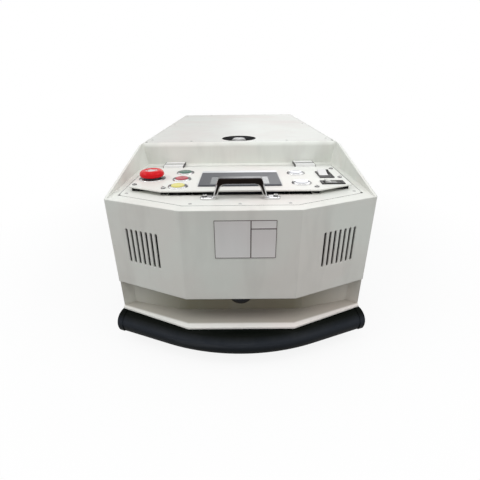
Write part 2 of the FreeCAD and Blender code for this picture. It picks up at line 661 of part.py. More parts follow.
def corner_gusset():
    """The three-sided fold that stiffens the corner between a cheek and the back wall."""
    side = VALUES["housing_width"] / 2 - VALUES["cheek"]
    back = VALUES["front_face"] + VALUES["recess_back"]
    deck = VALUES["deck_top"]
    foot = Vector(side, back, deck)
    tips = [Vector(side - VALUES["gusset_back"], back, deck),
            Vector(side, back - VALUES["gusset_side"], deck),
            Vector(side, back, VALUES["roof_top"] - VALUES["recess_round"] + 4)]
    sides = [(foot, tips[1], tips[0]), (foot, tips[0], tips[2]), (foot, tips[2], tips[1]),
             tuple(tips)]
    faces = [Part.Face(Part.makePolygon([*corners, corners[0]])) for corners in sides]
    gusset = doc.addObject("Part::Feature", "corner_gusset")
    solid = Part.Solid(Part.Shell(faces))
    if solid.Volume < 0:
        solid.reverse()
    gusset.Shape = solid
    return gusset


def top_cover():
    """The plate over the drive and the batteries, with the lift pin's well."""
    cover = doc.addObject("PartDesign::Body", "top_cover")
    pad(cover, "cover_plate", "XY", "roof_top - skin", "skin",
        rectangle("-cover_half", "cover_half", "front_face + cover_front",
                  "front_face + cover_back"),
        ("circle", 0, "front_face + lift_place", "well_radius"))
    for side in ("-", ""):
        pocket(cover, "corner_notch" + ("_left" if side else "_right"), "XY", "roof_top - 5", 10,
               ("circle", f"{side}(cover_half - 1)", "front_face + cover_front + 1", 3.5))
    node("top_cover", cover)


# ---------------------------------------------------------------- console lid

def hinge_leaf(name, towards, spans, bore):
    """One leaf with its knuckles. towards is the sign of its side of the axis."""
    axis = "front_face + hinge_line"
    leaf_middle = f"{axis} + {towards} * (3.5 + hinge_leaf / 2)"
    height = "hinge_height + knuckle - deck_top"
    solids = [block(name + "_plate", "hinge_place", leaf_middle, "deck_top", "hinge_length",
                    "hinge_leaf", height)]
    for number, (start, length) in enumerate(spans):
        solids.append(rod(f"{name}_knuckle_{number}", f"hinge_place + {start}", axis,
                          "hinge_height", "knuckle", length, ALONG_X))
        solids.append(block(f"{name}_web_{number}", f"hinge_place + {start} + {length} / 2",
                            f"{axis} + {towards} * 1.75", "deck_top", length, 3.5,
                            "hinge_height - deck_top"))
    hole = rod(name + "_bore", "hinge_place - hinge_length", axis, "hinge_height", bore,
               "2 * hinge_length", ALONG_X)
    return cut(name, fuse(name + "_solid", *solids), hole)


def hinges():
    """Two flat hinges, each with three knuckles on the deck and two on the lid."""
    fixed = hinge_leaf("fixed_leaf", "1", [(-20, 8), (-4, 8), (12, 8)], "hinge_pin")
    moving = hinge_leaf("lid_leaf", "-1", [(-11.8, 7.6), (4.2, 7.6)], "hinge_pin + running")
    pin = rod("one_hinge_pin", "hinge_place - hinge_length / 2", "front_face + hinge_line",
              "hinge_height", "hinge_pin", "hinge_length", ALONG_X)
    node("hinge_leaves_fixed", group("fixed_leaf_pair", fixed, mirror("fixed_leaf_twin", fixed)))
    node("hinge_leaves_lid", group("lid_leaf_pair", moving, mirror("lid_leaf_twin", moving)))
    node("hinge_pins", group("hinge_pin_pair", pin, mirror("hinge_pin_twin", pin)))


# panel screws: sideways and from the front, then front edge and depth of the rubber under each
PANEL_SCREWS = [(117, 78.5, 71, 21), (-117, 78.5, 71, 21), (-166.5, 99, 92, 21),
                (166.5, 132, 92, 46), (167, 191, 185, 12), (-167, 191, 185, 12)]
HANDLE_SCREWS = [(-51.5, 49.5), (51.5, 49.5)]
# push buttons: sideways, from the front
BUTTONS = {"yellow_button": (-96, 86.5), "red_button": (-96, 128.5), "green_button": (-96, 171),
           "clear_button_front": (97.5, 100.5), "clear_button_rear": (98, 161)}
SCREW_HOLE = 2.1
STOP_HOLE = 11.1
BUTTON_HOLE = 12.6


def console_lid():
    """The flush lid, with a window that the devices of the panel hang through."""
    lid = doc.addObject("PartDesign::Body", "console_lid")
    window = [("108.5", "68"), ("108.5", "91.5"), ("161", "91.5"), ("161", "206")]
    window = [(x, f"front_face + {y}") for x, y in window]
    window += [(f"-{x}", y) for x, y in reversed(window)]
    holes = [("circle", x, f"front_face + {y}", SCREW_HOLE)
             for x, y, *block in PANEL_SCREWS + HANDLE_SCREWS]
    pad(lid, "lid_plate", "XY", "deck_top - skin", "skin",
        nose("lid_flat", "lid_front", "lid_half", "lid_corner", "lid_back"),
        ("outline", window), *holes)
    for side in ("-", ""):
        pocket(lid, "corner_relief" + ("_left" if side else "_right"), "XY", "deck_top - 5", 10,
               ("circle", *lid_corner(side)))
    node("console_lid", lid)


def control_panel():
    """The raised panel, its rubber blocks and all screws of the console."""
    panel = doc.addObject("PartDesign::Body", "control_panel")
    holes = [("circle", x, f"front_face + {y}", BUTTON_HOLE) for x, y in BUTTONS.values()]
    holes += [("circle", x, f"front_face + {y}", SCREW_HOLE) for x, y, *block in PANEL_SCREWS]
    holes.append(("circle", "stop_x", "front_face + stop_y", STOP_HOLE))
    holes.append(rectangle("-(display_half - 5.5)", "display_half - 5.5",
                           "front_face + display_front + 5.5", "front_face + display_back - 5.5"))
    holes.append(centred("power_x", "front_face + power_y", 22, 37))
    holes.append(centred("mode_x", "front_face + mode_y", 30, 15))
    pad(panel, "panel_plate", "XY", "panel_under", "panel_top - panel_under",
        nose("panel_flat", "panel_front", "panel_half", "panel_corner", "panel_back"), *holes)
    node("control_panel", panel)

    blocks = []
    for number, (x, y, front, depth) in enumerate(PANEL_SCREWS):
        rubber = doc.addObject("PartDesign::Body", f"rubber_block_{number}")
        pad(rubber, f"rubber_{number}", "XY", "deck_top", "panel_under - deck_top",
            centred(x - math.copysign(1.3, x), f"front_face + {front} + {depth} / 2", 8.5, depth),
            ("circle", x, f"front_face + {y}", SCREW_HOLE))
        blocks.append(rubber)
    node("panel_standoffs", group("standoff_group", *blocks))

    screws = []
    spots = [(x, y, VALUES["panel_top"]) for x, y, *block in PANEL_SCREWS]
    spots += [(x, y, VALUES["deck_top"] + VALUES["fold"]) for x, y in HANDLE_SCREWS]
    for number, (x, y, seat) in enumerate(spots):
        screw = turned(f"screw_{number}", ("outline", [
            (0, f"{VALUES['deck_top'] - 3 - seat}"), (2, f"{VALUES['deck_top'] - 3 - seat}"),
            (2, 0), (3.6, 0), (3.3, 1.2), (2.2, 1.9), (0, 1.9)]))
        screws.append(place(screw, x, f"front_face + {y}", seat))
    node("console_screws", group("screw_group", *screws))


def display():
    """The operator's touch display: moulded frame with its back box, and the screen."""
    frame = doc.addObject("PartDesign::Body", "display_housing")
    middle = "front_face + (display_front + display_back) / 2"
    depth = "display_back - display_front"
    pad(frame, "display_frame", "XY", "panel_top", "display_top - panel_top",
        centred(0, middle, "2 * display_half", depth))
    dress(frame, "Fillet", 4, lambda edge: along(edge, 2))
    dress(frame, "Chamfer", 1.2, lambda edge: all(
        near(vertex.Point.z, VALUES["display_top"]) for vertex in edge.Vertexes))
    pad(frame, "display_back_box", "XY", "panel_top - 30", 30,
        centred(0, middle, "2 * display_half - 12", f"{depth} - 12"))
    pocket(frame, "screen_seat", "XY", "display_top - 1", 2,
           rectangle("-screen_half", "screen_half", "front_face + screen_front",
                     "front_face + screen_back"))
    node("display_housing", frame)
    screen = doc.addObject("PartDesign::Body", "display_screen")
    pad(screen, "screen_glass", "XY", "display_top - 1", 0.7,
        rectangle("-screen_half", "screen_half", "front_face + screen_front",
                  "front_face + screen_back"))
    node("display_screen", screen)


def emergency_stop():
    """Base ring and contact block, the stem that travels, and the mushroom head."""
    base = turned("stop_base_turned", ("outline", [
        (0, -28), (11, -28), (11, 0), ("stop_ring", 0), ("stop_ring", 0.5),
        ("stop_ring - 1", 1.3), (15.4, 1.3), (14.4, 4), ("6 + running", 4),
        ("6 + running", -20), (0, -20)]))
    place(base, "stop_x", "front_face + stop_y", "panel_top")
    contacts = block("stop_contacts", "stop_x", "front_face + stop_y", "panel_top - 50", 24, 30, 22)
    node("estop_base", fuse("stop_base", base, contacts))
    stem = rod("stop_stem", "stop_x", "front_face + stop_y", "panel_top - 14", 6, 25)
    node("estop_stem", stem)
    head = turned("stop_head", ("outline", [
        ("6 + running", 7.5), (16.6, 7.5), (16.6, 4.5), ("mushroom", 4.5), ("mushroom", 14.8),
        (11, 14.8), (10, 13.5), (0, 13.5), (0, 11), ("6 + running", 11)]))
    dress(head, "Fillet", 6.8, lambda edge: near(edge.BoundBox.ZMin, 14.8)
          and near(edge.BoundBox.XMax, VALUES["mushroom"]))
    dress(head, "Fillet", 2.8, lambda edge: near(edge.BoundBox.ZMax, 4.5)
          and near(edge.BoundBox.XMax, VALUES["mushroom"]))
    place(head, "stop_x", "front_face + stop_y", "panel_top")
    node("estop_head", head)


def push_buttons():
    """Five round push buttons: a bezel with nut and contact block, and a sprung cap."""
    bezels = []
    for name, (x, y) in BUTTONS.items():
        body = turned(name + "_bezel", ("outline", [
            ("8 + running", -16), ("8 + running", -4.2), ("lens + 0.3", -4.2),
            ("lens + 0.3", 1.5), ("lens + 0.8", 2), ("bezel - 1.8", 2), ("bezel - 0.5", 1.3),
            ("bezel", 0), ("lens + 1.9", 0), ("lens + 1.9", -2), ("nut", -2), ("nut", -6.2),
            (11, -6.2), (11, -28), (0, -28), (0, -16)]))
        place(body, x, f"front_face + {y}", "panel_top")
        contacts = block(name + "_contacts", x, f"front_face + {y}", "panel_top - 50", 18, 22, 22)
        bezels.append(fuse(name + "_fitting", body, contacts))
        cap = turned(name + "_cap", ("outline", [
            (0, -13.8), (8, -13.8), (8, -2), ("lens", -2), ("lens", 2.4), ("lens - 0.7", 3),
            (0, 3.5)]))
        node(name, place(cap, x, f"front_face + {y}", "panel_top"))
    node("button_bezels", group("bezel_group", *bezels))


def rockers():
    """Two rocker switches: frames with their boxes, and the rockers in their tilted rest."""
    frames = []
    sizes = {"power": (21, 36, 24, 40), "mode": (29, 14, 36, 18)}
    for name, (inner_x, inner_y, outer_x, outer_y) in sizes.items():
        frame = doc.addObject("PartDesign::Body", name + "_frame")
        centre = (f"{name}_x", f"front_face + {name}_y")
        pad(frame, name + "_rim", "XY", "panel_top", 1.5, centred(*centre, outer_x, outer_y))
        pad(frame, name + "_box", "XY", "panel_top - 22", 22, centred(*centre, inner_x, inner_y))
        pocket(frame, name + "_throat", "XY", "panel_top - 12", 15,
               centred(*centre, inner_x - 1.6, inner_y - 1.4))
        frames.append(frame)
    node("rocker_frames", group("rocker_frame_pair", *frames))
    rests = {"power": (19, 16.6, Rotation(Vector(1, 0, 0), VALUES["rocker_tilt"])),
             "mode": (12.2, 12.6, Rotation(Vector(0, 0, 1), 90)
                      * Rotation(Vector(1, 0, 0), VALUES["rocker_tilt"]))}
    for name, (width, reach, turn) in rests.items():
        rocker = doc.addObject("PartDesign::Body", name + "_rocker")
        pad(rocker, name + "_rocker_body", "YZ", 0, width, ("outline", [
            (-reach, 2.6), (0, 0.8), (reach, 2.6), (reach - 3, -5), (3, -7), (-3, -7),
            (3 - reach, -5)]), both_ways=True)
        place(rocker, f"{name}_x", f"front_face + {name}_y", "rocker_axis", turn)
        node(name + "_rocker", rocker)


def lid_handle():
    """The plated bow handle on the front edge of the lid."""
    bow = doc.addObject("PartDesign::Body", "lid_handle")
    crown = "deck_top + handle_rise"
    right = [("handle_half", "deck_top"), ("handle_half", "deck_top + fold"),
             ("39.5", "deck_top + fold"), ("31", crown)]
    inner = [("26.5", f"{crown} - 8.5"), ("35", "deck_top")]
    outline = right + [(f"-{x}", z) for x, z in reversed(right)]
    outline += [(f"-{x}", z) for x, z in reversed(inner)] + inner
    pad(bow, "bow", "XZ", "front_face + handle_line - handle_depth / 2", "handle_depth",
        ("outline", outline))
    seat = VALUES["deck_top"]
    dress(bow, "Fillet", 5, lambda edge: along(edge, 1)
          and near(edge.CenterOfMass.z, seat + VALUES["handle_rise"]))
    dress(bow, "Fillet", 10, lambda edge: along(edge, 1)
          and near(edge.CenterOfMass.z, seat + VALUES["handle_rise"] - 8.5))
    dress(bow, "Fillet", 3.5, lambda edge: along(edge, 1) and near(abs(edge.CenterOfMass.x), 39.5))
    dress(bow, "Fillet", 6.5, lambda edge: along(edge, 2)
          and near(abs(edge.CenterOfMass.x), VALUES["handle_half"]))
    middle = VALUES["front_face"] + VALUES["handle_line"]
    dress(bow, "Fillet", 2.6, lambda edge: edge.BoundBox.ZMax > seat + 6
          and edge.BoundBox.YLength < 0.01
          and near(abs(edge.CenterOfMass.y - middle), VALUES["handle_depth"] / 2))
    for x, y in HANDLE_SCREWS:
        pocket(bow, f"screw_hole_{'left' if x < 0 else 'right'}", "XY", "deck_top - 1", 8,
               ("circle", x, f"front_face + {y}", SCREW_HOLE))
    node("lid_handle", bow)


# ---------------------------------------------------------------- scanner, lift, drive, castors

def scanner():
    """The safety scanner: its body above the slot's ceiling and its window in the slot."""
    ceiling = "housing_bottom"
    body = turned("scanner_housing", ("outline", [
        (0, f"{ceiling} - 5"), ("scanner_radius - 2.2", f"{ceiling} - 5"),
        ("scanner_radius - 2.2", f"{ceiling} + skin"), (26, f"{ceiling} + skin"),
        (26, f"{ceiling} + 38"), (23, f"{ceiling} + 41"), (0, f"{ceiling} + 41")]))
    node("scanner_housing", place(body, 0, "front_face + scanner_place", 0))
    window = turned("scanner_window", ("outline", [
        (0, "scanner_low"), ("scanner_radius", "scanner_low"),
        ("scanner_radius", f"{ceiling} - 5"), (0, f"{ceiling} - 5")]))
    dress(window, "Fillet", 13, lambda edge: near(edge.BoundBox.ZMax, VALUES["scanner_low"])
          and edge.Length > 20)
    node("scanner_window", place(window, 0, "front_face + scanner_place", 0))


def bridges():
    """Two folded plates between the side walls: one under the lift, one over the drive unit."""
    spans = {"lift": ("lift_place", 80, 24), "drive": ("drive_place", 160, 50)}
    pair = []
    for name, (middle, depth, hole) in spans.items():
        bridge = doc.addObject("PartDesign::Body", name + "_bridge_plate")
        low = f"front_face + {middle} - {depth} / 2"
        high = f"front_face + {middle} + {depth} / 2"
        under = f"{name}_bridge"
        pad(bridge, name + "_channel", "YZ", 0, "2 * (wall_face - skin)", ("outline", [
            (low, under), (high, under), (high, f"{under} + 26"), (f"{high} - 3", f"{under} + 26"),
            (f"{high} - 3", f"{under} + bridge_plate"), (f"{low} + 3", f"{under} + bridge_plate"),
            (f"{low} + 3", f"{under} + 26"), (low, f"{under} + 26")]), both_ways=True)
        pocket(bridge, name + "_hole", "XY", f"{under} - 1", "bridge_plate + 2",
               centred(0, f"front_face + {middle}", hole, hole))
        pair.append(bridge)
    node("cross_bridges", group("bridge_pair", *pair))


def lift():
    """The lift: guide tube with its bush and cup, gear motor, lead screw and the pin."""
    axis_y = "front_face + lift_place"
    seat = "lift_bridge + bridge_plate"
    tube = turned("lift_guide_tube", ("outline", [
        (28, seat), (36, seat), (36, f"{seat} + 5"), (33, f"{seat} + 5"), (33, 243), (38, 246),
        (38, 287.5), (36.2, 287.5), (36.2, 249), (28, 249)]))
    node("lift_guide_tube", place(tube, 0, axis_y, 0))
    bush = turned("lift_bush", ("outline", [
        ("lift_column + running", 205), (28, 205), (28, 249), ("lift_column + running", 249)]))
    node("lift_bush", place(bush, 0, axis_y, 0))
    motor = turned("lift_motor_turned", ("outline", [
        (0, 66), (19, 66), (21, 69), (21, 108), (21.5, 108), (21.5, "lift_bridge"),
        (f"5 + running", "lift_bridge"), (f"5 + running", 138), (0, 138)]))
    place(motor, 0, axis_y, 0)
    flange = cut("motor_flange", block("motor_flange_plate", 0, axis_y, "lift_bridge - 6", 56, 43, 6),
                 rod("motor_flange_hole", 0, axis_y, "lift_bridge - 8", 15, 10))
    node("lift_motor", fuse("lift_gear_motor", motor, flange))
    screw = turned("lift_screw", ("outline", [
        (0, 140), (5, 140), (5, "lift_bridge + 2"), ("lift_thread", "lift_bridge + 4"),
        ("lift_thread", 237), (6, 238), (0, 238)]))
    node("lift_screw", place(screw, 0, axis_y, 0))
    pin = turned("lift_pin", ("outline", [
        ("lift_thread + running", "lift_foot"), ("lift_column", "lift_foot"),
        ("lift_column", "lift_shoulder - 2"), ("lift_column - 2", "lift_shoulder"),
        ("lift_nose", "lift_shoulder"), ("lift_nose", "roof_top - 3"),
        ("lift_nose - 3", "roof_top"), (0, "roof_top"), (0, 246), (9.5, 246), (9.5, 190),
        ("lift_thread + running", 190)]))
    node("lift_pin", place(pin, 0, axis_y, 0))


def drive_unit():
    """The swivelling drive unit: slewing ring, carriage, sprung cradle, motors and wheels."""
    axis_y = "front_face + drive_place"
    outer = turned("slew_ring_outer", ("outline", [
        ("55 + running", "drive_bridge - 14"), (75, "drive_bridge - 14"), (75, "drive_bridge"),
        ("55 + running", "drive_bridge")]))
    node("slew_ring_outer", place(outer, 0, axis_y, 0))
    inner = turned("slew_ring_inner", ("outline", [
        (36, "drive_bridge - 16"), (55, "drive_bridge - 16"), (55, "drive_bridge - 2"),
        (36, "drive_bridge - 2")]))
    node("slew_ring_inner", place(inner, 0, axis_y, 0))

    carriage = doc.addObject("PartDesign::Body", "drive_carriage")
    corners = [(x, y) for x in ("-post_x", "post_x") for y in ("-post_y", "post_y")]
    pad(carriage, "carriage_plate", "XY", "drive_bridge - 24", 8, centred(0, 0, 170, 140),
        ("circle", 0, 0, 36))
    dress(carriage, "Fillet", 12, lambda edge: along(edge, 2))
    pad(carriage, "guide_posts", "XY", 96, "drive_bridge - 24 - 96",
        *[("circle", x, y, "post") for x, y in corners])
    node("drive_carriage", place(carriage, 0, axis_y, 0))

    buffers = []
    for number, (x, y) in enumerate(corners):
        buffer = turned(f"buffer_{number}", ("outline", [
            ("post + 0.5", 122), (13, 122), (14.5, 134), (13, 147), (14.5, 160), (13, 172),
            ("post + 0.5", 172)]))
        buffers.append(place(buffer, x, f"{axis_y} + {y}", 0))
    node("spring_buffers", group("buffer_group", *buffers))

    cradle = doc.addObject("PartDesign::Body", "drive_cradle")
    pad(cradle, "cradle_plate", "XY", 112, 10, centred(0, 0, 196, 132),
        *[("circle", x, y, "post + running") for x, y in corners])
    cheek = pad(cradle, "cradle_cheek", "YZ", 92, 6, ("outline", [
        (-44, 112), (-44, 70), (-24, 38), (24, 38), (44, 70), (44, 112)]),
        ("circle", 0, "drive_wheel", 20))
    doc.recompute()
    mirror_feature(cradle, cheek)
    node("drive_cradle", place(cradle, 0, axis_y, 0))

    motor = turned("gear_motor", ("outline", [
        (0, 6), (29, 6), (31, 8), (31, 58), (35.5, 58), (35.5, 92), (19.9, 92), (19.9, 98),
        ("8 + running", 98), ("8 + running", 84), (0, 84)]))
    place(motor, 0, axis_y, "drive_wheel", ALONG_X)
    node("gear_motors", group("motor_pair", motor, mirror("motor_twin", motor)))

    tread = "drive_wheel"
    hub = turned("drive_hub", ("outline", [
        (0, 85), (8, 85), (8, "drive_inner"), (24, "drive_inner"), (24, 112), (54, 112),
        (56, "drive_inner"), (64, "drive_inner"), (64, "drive_outer"), (56, "drive_outer"),
        (54, 126), (20, 126), (18, "drive_outer - 4"), (0, "drive_outer - 4")]))
    place(hub, 0, axis_y, tread, ALONG_X)
    tyre = turned("drive_tyre", ("outline", [
        (64, "drive_inner"), (f"{tread} - 3", "drive_inner"), (tread, "drive_inner + 3"),
        (tread, "drive_outer - 3"), (f"{tread} - 3", "drive_outer"), (64, "drive_outer")]))
    place(tyre, 0, axis_y, tread, ALONG_X)
    right = group("drive_wheel_pair", hub, tyre)
    node("drive_wheel_right", right)
    node("drive_wheel_left", mirror("drive_wheel_twin", right))


def castor_wheel(name, radius, half_width, bore):
    """A moulded roller with recessed sides."""
    return turned(name, ("outline", [
        (bore, -half_width), (f"{bore} + 4", -half_width), (f"{bore} + 5", 2 - half_width),
        (f"{radius} - 6", 2 - half_width), (f"{radius} - 5", -half_width),
        (f"{radius} - 2", -half_width), (radius, 3 - half_width), (radius, half_width - 3),
        (f"{radius} - 2", half_width), (f"{radius} - 5", half_width),
        (f"{radius} - 6", half_width - 2), (f"{bore} + 5", half_width - 2),
        (f"{bore} + 4", half_width), (bore, half_width)]))


def front_castors():
    """Two low swivel castors under the front base plate."""
    centre_y = "front_face + castor_front"
    plate = doc.addObject("PartDesign::Body", "castor_plate")
    pad(plate, "mounting_plate", "XY", "plate_under - 3", 3, centred(0, 0, 60, 76))
    dress(plate, "Fillet", 8, lambda edge: along(edge, 2))
    pad(plate, "race", "XY", "plate_under - 6", 3, ("circle", 0, 0, 20))
    place(plate, "castor_x", centre_y, 0)
    node("front_castor_plates", group("castor_plate_pair", plate, mirror("castor_plate_twin", plate)))

    fork = doc.addObject("PartDesign::Body", "castor_fork")
    pad(fork, "fork_crown", "XY", 47, 4.7, ("circle", 0, 0, 20.5))
    leg = pad(fork, "fork_leg", "YZ", 11, 3, ("outline", [
        (-13, 47), (15, 47), ("castor_trail + 7", 28), ("castor_trail + 7", 18),
        ("castor_trail + 3", 15), ("castor_trail - 4", 15), ("castor_trail - 8", 19)]),
        ("circle", "castor_trail", "castor_wheel", 4.1))
    doc.recompute()
    mirror_feature(fork, leg)
    place(fork, "castor_x", centre_y, 0)
    axle_y = f"{centre_y} + castor_trail"
    axle = rod("castor_axle", "castor_x - 16", axle_y, "castor_wheel", 4, 32, ALONG_X)
    left_fork = group("castor_fork_set", fork, axle)
    node("front_castor_fork_right", left_fork)
    node("front_castor_fork_left", mirror("castor_fork_twin", left_fork))
    wheel = castor_wheel("castor_wheel_turned", "castor_wheel", 10, "4 + running")
    place(wheel, "castor_x", axle_y, "castor_wheel", ALONG_X)
    node("front_castor_wheel_right", wheel)
    node("front_castor_wheel_left", mirror("castor_wheel_twin", wheel))


def rear_castors():
    """Two fixed castors under the rear base plate."""
    centre_y = "front_face + castor_rear"
    bracket = doc.addObject("PartDesign::Body", "roller_bracket")
    pad(bracket, "bracket_plate", "XY", "plate_under - 3", 3, centred(0, 0, 64, 80))
    leg = pad(bracket, "bracket_leg", "YZ", 13.5, 3, ("outline", [
        (-26, "plate_under - 3"), (26, "plate_under - 3"), (10, 20), (6, 14), (-6, 14),
        (-10, 20)]), ("circle", 0, "roller_wheel", 5.1))
    doc.recompute()
    mirror_feature(bracket, leg)
    place(bracket, "castor_x", centre_y, 0)
    axle = rod("roller_axle", "castor_x - 19", centre_y, "roller_wheel", 5, 38, ALONG_X)
    pair = group("roller_bracket_set", bracket, axle)
    node("rear_castor_brackets", group("bracket_pairs", pair, mirror("bracket_twin", pair)))
    wheel = castor_wheel("roller_turned", "roller_wheel", 12, "5 + running")
    place(wheel, "castor_x", centre_y, "roller_wheel", ALONG_X)
    node("rear_castor_wheel_right", wheel)
    node("rear_castor_wheel_left", mirror("roller_twin", wheel))


# ---------------------------------------------------------------- power and control

def battery_packs():
    """Two battery packs on the rear base plate."""
    pack = doc.addObject("PartDesign::Body", "battery_pack")
    centre = (84, "front_face + 808")
    pad(pack, "pack_case", "XY", "plate_top", 118, centred(*centre, 152, 156))
    dress(pack, "Fillet", 5, lambda edge: along(edge, 2))
    pad(pack, "pack_lid", "XY", "plate_top + 118", 8, centred(*centre, 144, 148))
    for side in (-40, 40):
        pad(pack, f"terminal_{'minus' if side < 0 else 'plus'}", "XY", "plate_top + 126", 10,
            ("circle", 84 + side, "front_face + 750", 8))
    node("battery_packs", group("battery_pair", pack, mirror("battery_twin", pack)))


def charge_contacts():
    """The rear contact plate for the charging station: an insulating holder and two bars."""
    face = "lower_rear"
    parts = [block("contact_holder", 0, f"{face} + 1.1", 70, 150, 2.2, 26)]
    for side in ("-", ""):
        parts.append(block("contact_bar" + ("_left" if side else "_right"), f"{side}36",
                           f"{face} + 2.6", 78, 52, 0.8, 10))
    node("charge_contacts", group("contact_group", *parts))


def control_electronics():
    """The vehicle controller and the two finned motor drives, on the front base plate."""
    controller = doc.addObject("PartDesign::Body", "controller")
    pad(controller, "controller_case", "XY", "plate_top", 60,
        centred(-95, "front_face + 200", 140, 150))
    dress(controller, "Fillet", 3, lambda edge: along(edge, 2))
    pad(controller, "connector_rail", "XY", "plate_top + 60", 8,
        centred(-95, "front_face + 140", 120, 18))
    parts = [controller]
    for number, x in enumerate((40, 115)):
        drive = doc.addObject("PartDesign::Body", f"motor_drive_{number}")
        pad(drive, f"drive_case_{number}", "XY", "plate_top", 40,
            centred(x, "front_face + 200", 60, 150))
        pad(drive, f"fins_{number}", "XY", "plate_top + 40", 16,
            *[centred(x + 9 * step, "front_face + 200", 3, 140) for step in range(-3, 4)])
        parts.append(drive)
    node("control_electronics", group("electronics_group", *parts))


# ---------------------------------------------------------------- build, check, write

base_plates()
frame_tubes()
lower_walls()
scanner_bay()
bumper()
magnetic_sensor()
upper_housing()
top_cover()
hinges()
console_lid()
control_panel()
display()
emergency_stop()
push_buttons()
rockers()
lid_handle()
scanner()
bridges()
lift()
drive_unit()
front_castors()
rear_castors()
battery_packs()
charge_contacts()
control_electronics()
doc.recompute()

for item in doc.Objects:
    if "Invalid" in item.State or "Error" in item.State:
        raise RuntimeError(f"{item.Label} is not built: {item.State}")
for piece in NODES:
    if piece.Shape.isNull() or not piece.Shape.isValid() or not piece.Shape.Solids:
        raise RuntimeError(f"{piece.Label} has no valid shape")

os.makedirs("parts", exist_ok=True)
for piece in NODES:
    piece.Shape.exportStep(f"parts/{piece.Label}.step")
    print(f"{piece.Label}: {len(piece.Shape.Solids)} solid(s), {piece.Shape.Volume / 1000:.1f} cm3")
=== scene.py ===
"""Looks of the low tow vehicle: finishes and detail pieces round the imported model.

Metres. +Z is up, and the console and the bumper are at the -Y end.
"""
import math

import bmesh
import bpy
from mathutils import Matrix, Vector


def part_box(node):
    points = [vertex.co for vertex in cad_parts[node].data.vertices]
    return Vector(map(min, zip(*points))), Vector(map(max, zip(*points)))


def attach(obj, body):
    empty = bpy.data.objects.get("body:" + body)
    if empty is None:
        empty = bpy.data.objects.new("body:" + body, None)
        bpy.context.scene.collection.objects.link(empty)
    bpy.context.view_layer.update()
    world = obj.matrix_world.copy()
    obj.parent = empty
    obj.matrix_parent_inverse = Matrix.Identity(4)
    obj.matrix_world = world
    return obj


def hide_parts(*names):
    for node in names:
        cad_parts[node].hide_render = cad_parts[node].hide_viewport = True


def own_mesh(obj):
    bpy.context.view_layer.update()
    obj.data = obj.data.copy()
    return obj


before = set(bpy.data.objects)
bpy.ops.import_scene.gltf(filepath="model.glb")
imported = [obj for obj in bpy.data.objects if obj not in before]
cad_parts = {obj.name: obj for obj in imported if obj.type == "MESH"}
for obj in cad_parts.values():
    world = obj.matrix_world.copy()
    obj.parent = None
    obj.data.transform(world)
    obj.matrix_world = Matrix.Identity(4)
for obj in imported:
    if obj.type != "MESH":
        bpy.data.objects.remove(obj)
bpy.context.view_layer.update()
MM = 0.001


# ---- Studio -------------------------------------------------------------------------------
# A pale sweep under soft lamps above, beside and behind, and a camera that stands over the
# bumper and looks down on the console through a wide lens.

scene = bpy.context.scene
scene.view_settings.view_transform = "Standard"

CAMERA_PLACE = Vector((-0.0032, -0.8479, 0.4005))
LOOK_DOWN = math.radians(24.94)
LOOK_LEFT = 0.0085
CAMERA_ROLL = -0.0126
CAMERA_SENSOR, CAMERA_LENS = 36, 24.56
CAMERA_SHIFT = (0.0088, -0.0104)

bpy.ops.object.camera_add()
camera = bpy.context.object
camera.data.sensor_width = CAMERA_SENSOR
camera.data.lens = CAMERA_LENS
camera.data.shift_x, camera.data.shift_y = CAMERA_SHIFT
camera.data.clip_start = 0.02
aim = (Matrix.Rotation(LOOK_LEFT, 4, "Z") @ Matrix.Rotation(math.pi / 2 - LOOK_DOWN, 4, "X")
       @ Matrix.Rotation(CAMERA_ROLL, 4, "Z"))
camera.matrix_world = Matrix.Translation(CAMERA_PLACE) @ aim
scene.camera = camera


def lamp(name, place, target, size, watts):
    """A square soft box that faces its target."""
    bpy.ops.object.light_add(type="AREA", location=place)
    light = bpy.context.object
    light.name = name
    light.data.size = size
    light.data.energy = watts
    direction = Vector(target) - Vector(place)
    light.rotation_euler = direction.to_track_quat("-Z", "Y").to_euler()


lamp("overhead_light", place=(0.0, -1.3, 2.5), target=(0, -0.4, 0.2), size=1.0, watts=14)
lamp("left_light", place=(-1.7, -0.7, 1.75), target=(0, -0.35, 0.2), size=1.2, watts=13.5)
lamp("right_light", place=(1.7, -0.7, 1.75), target=(0, -0.35, 0.2), size=1.2, watts=13)
lamp("rear_light", place=(0.4, 2.4, 1.2), target=(0, 0.4, 0.15), size=1.0, watts=6)


def feed(tree, socket, value):
    """A socket gets a value, or a link from the output that is its value."""
    if isinstance(value, bpy.types.NodeSocket):
        tree.links.new(value, socket)
    else:
        socket.default_value = value


def shader(tree, kind, settings=None, **sockets):
    """A shader node with its settings, and each socket's value or the output that feeds it."""
    made = tree.nodes.new("ShaderNode" + kind)
    for name, value in (settings or {}).items():
        setattr(made, name, value)
    for name, value in sockets.items():
        feed(tree, made.inputs[name.replace("_", " ")], value)
    return made


def maths(tree, operation, *values):
    """The output of a Math node."""
    made = shader(tree, "Math", {"operation": operation})
    for socket, value in zip(made.inputs, values):
        feed(tree, socket, value)
    return made.outputs[0]


def vector_maths(tree, operation, *values):
    """The outputs of a Vector Math node."""
    made = shader(tree, "VectorMath", {"operation": operation})
    for socket, value in zip(made.inputs, values):
        feed(tree, socket, value)
    return made.outputs


def mixed(tree, share, first, second, blend="MIX"):
    """The output of a colour Mix node."""
    made = shader(tree, "Mix", {"data_type": "RGBA", "blend_type": blend})
    for number, value in ((0, share), (6, first), (7, second)):
        feed(tree, made.inputs[number], value)
    return made.outputs[2]


def ramp(tree, value, low, high, first=0.0, second=1.0):
    """value from low to high becomes first to second, and stays between them."""
    made = shader(tree, "MapRange", Value=value, From_Min=low, From_Max=high, To_Min=first,
                  To_Max=second)
    return made.outputs[0]


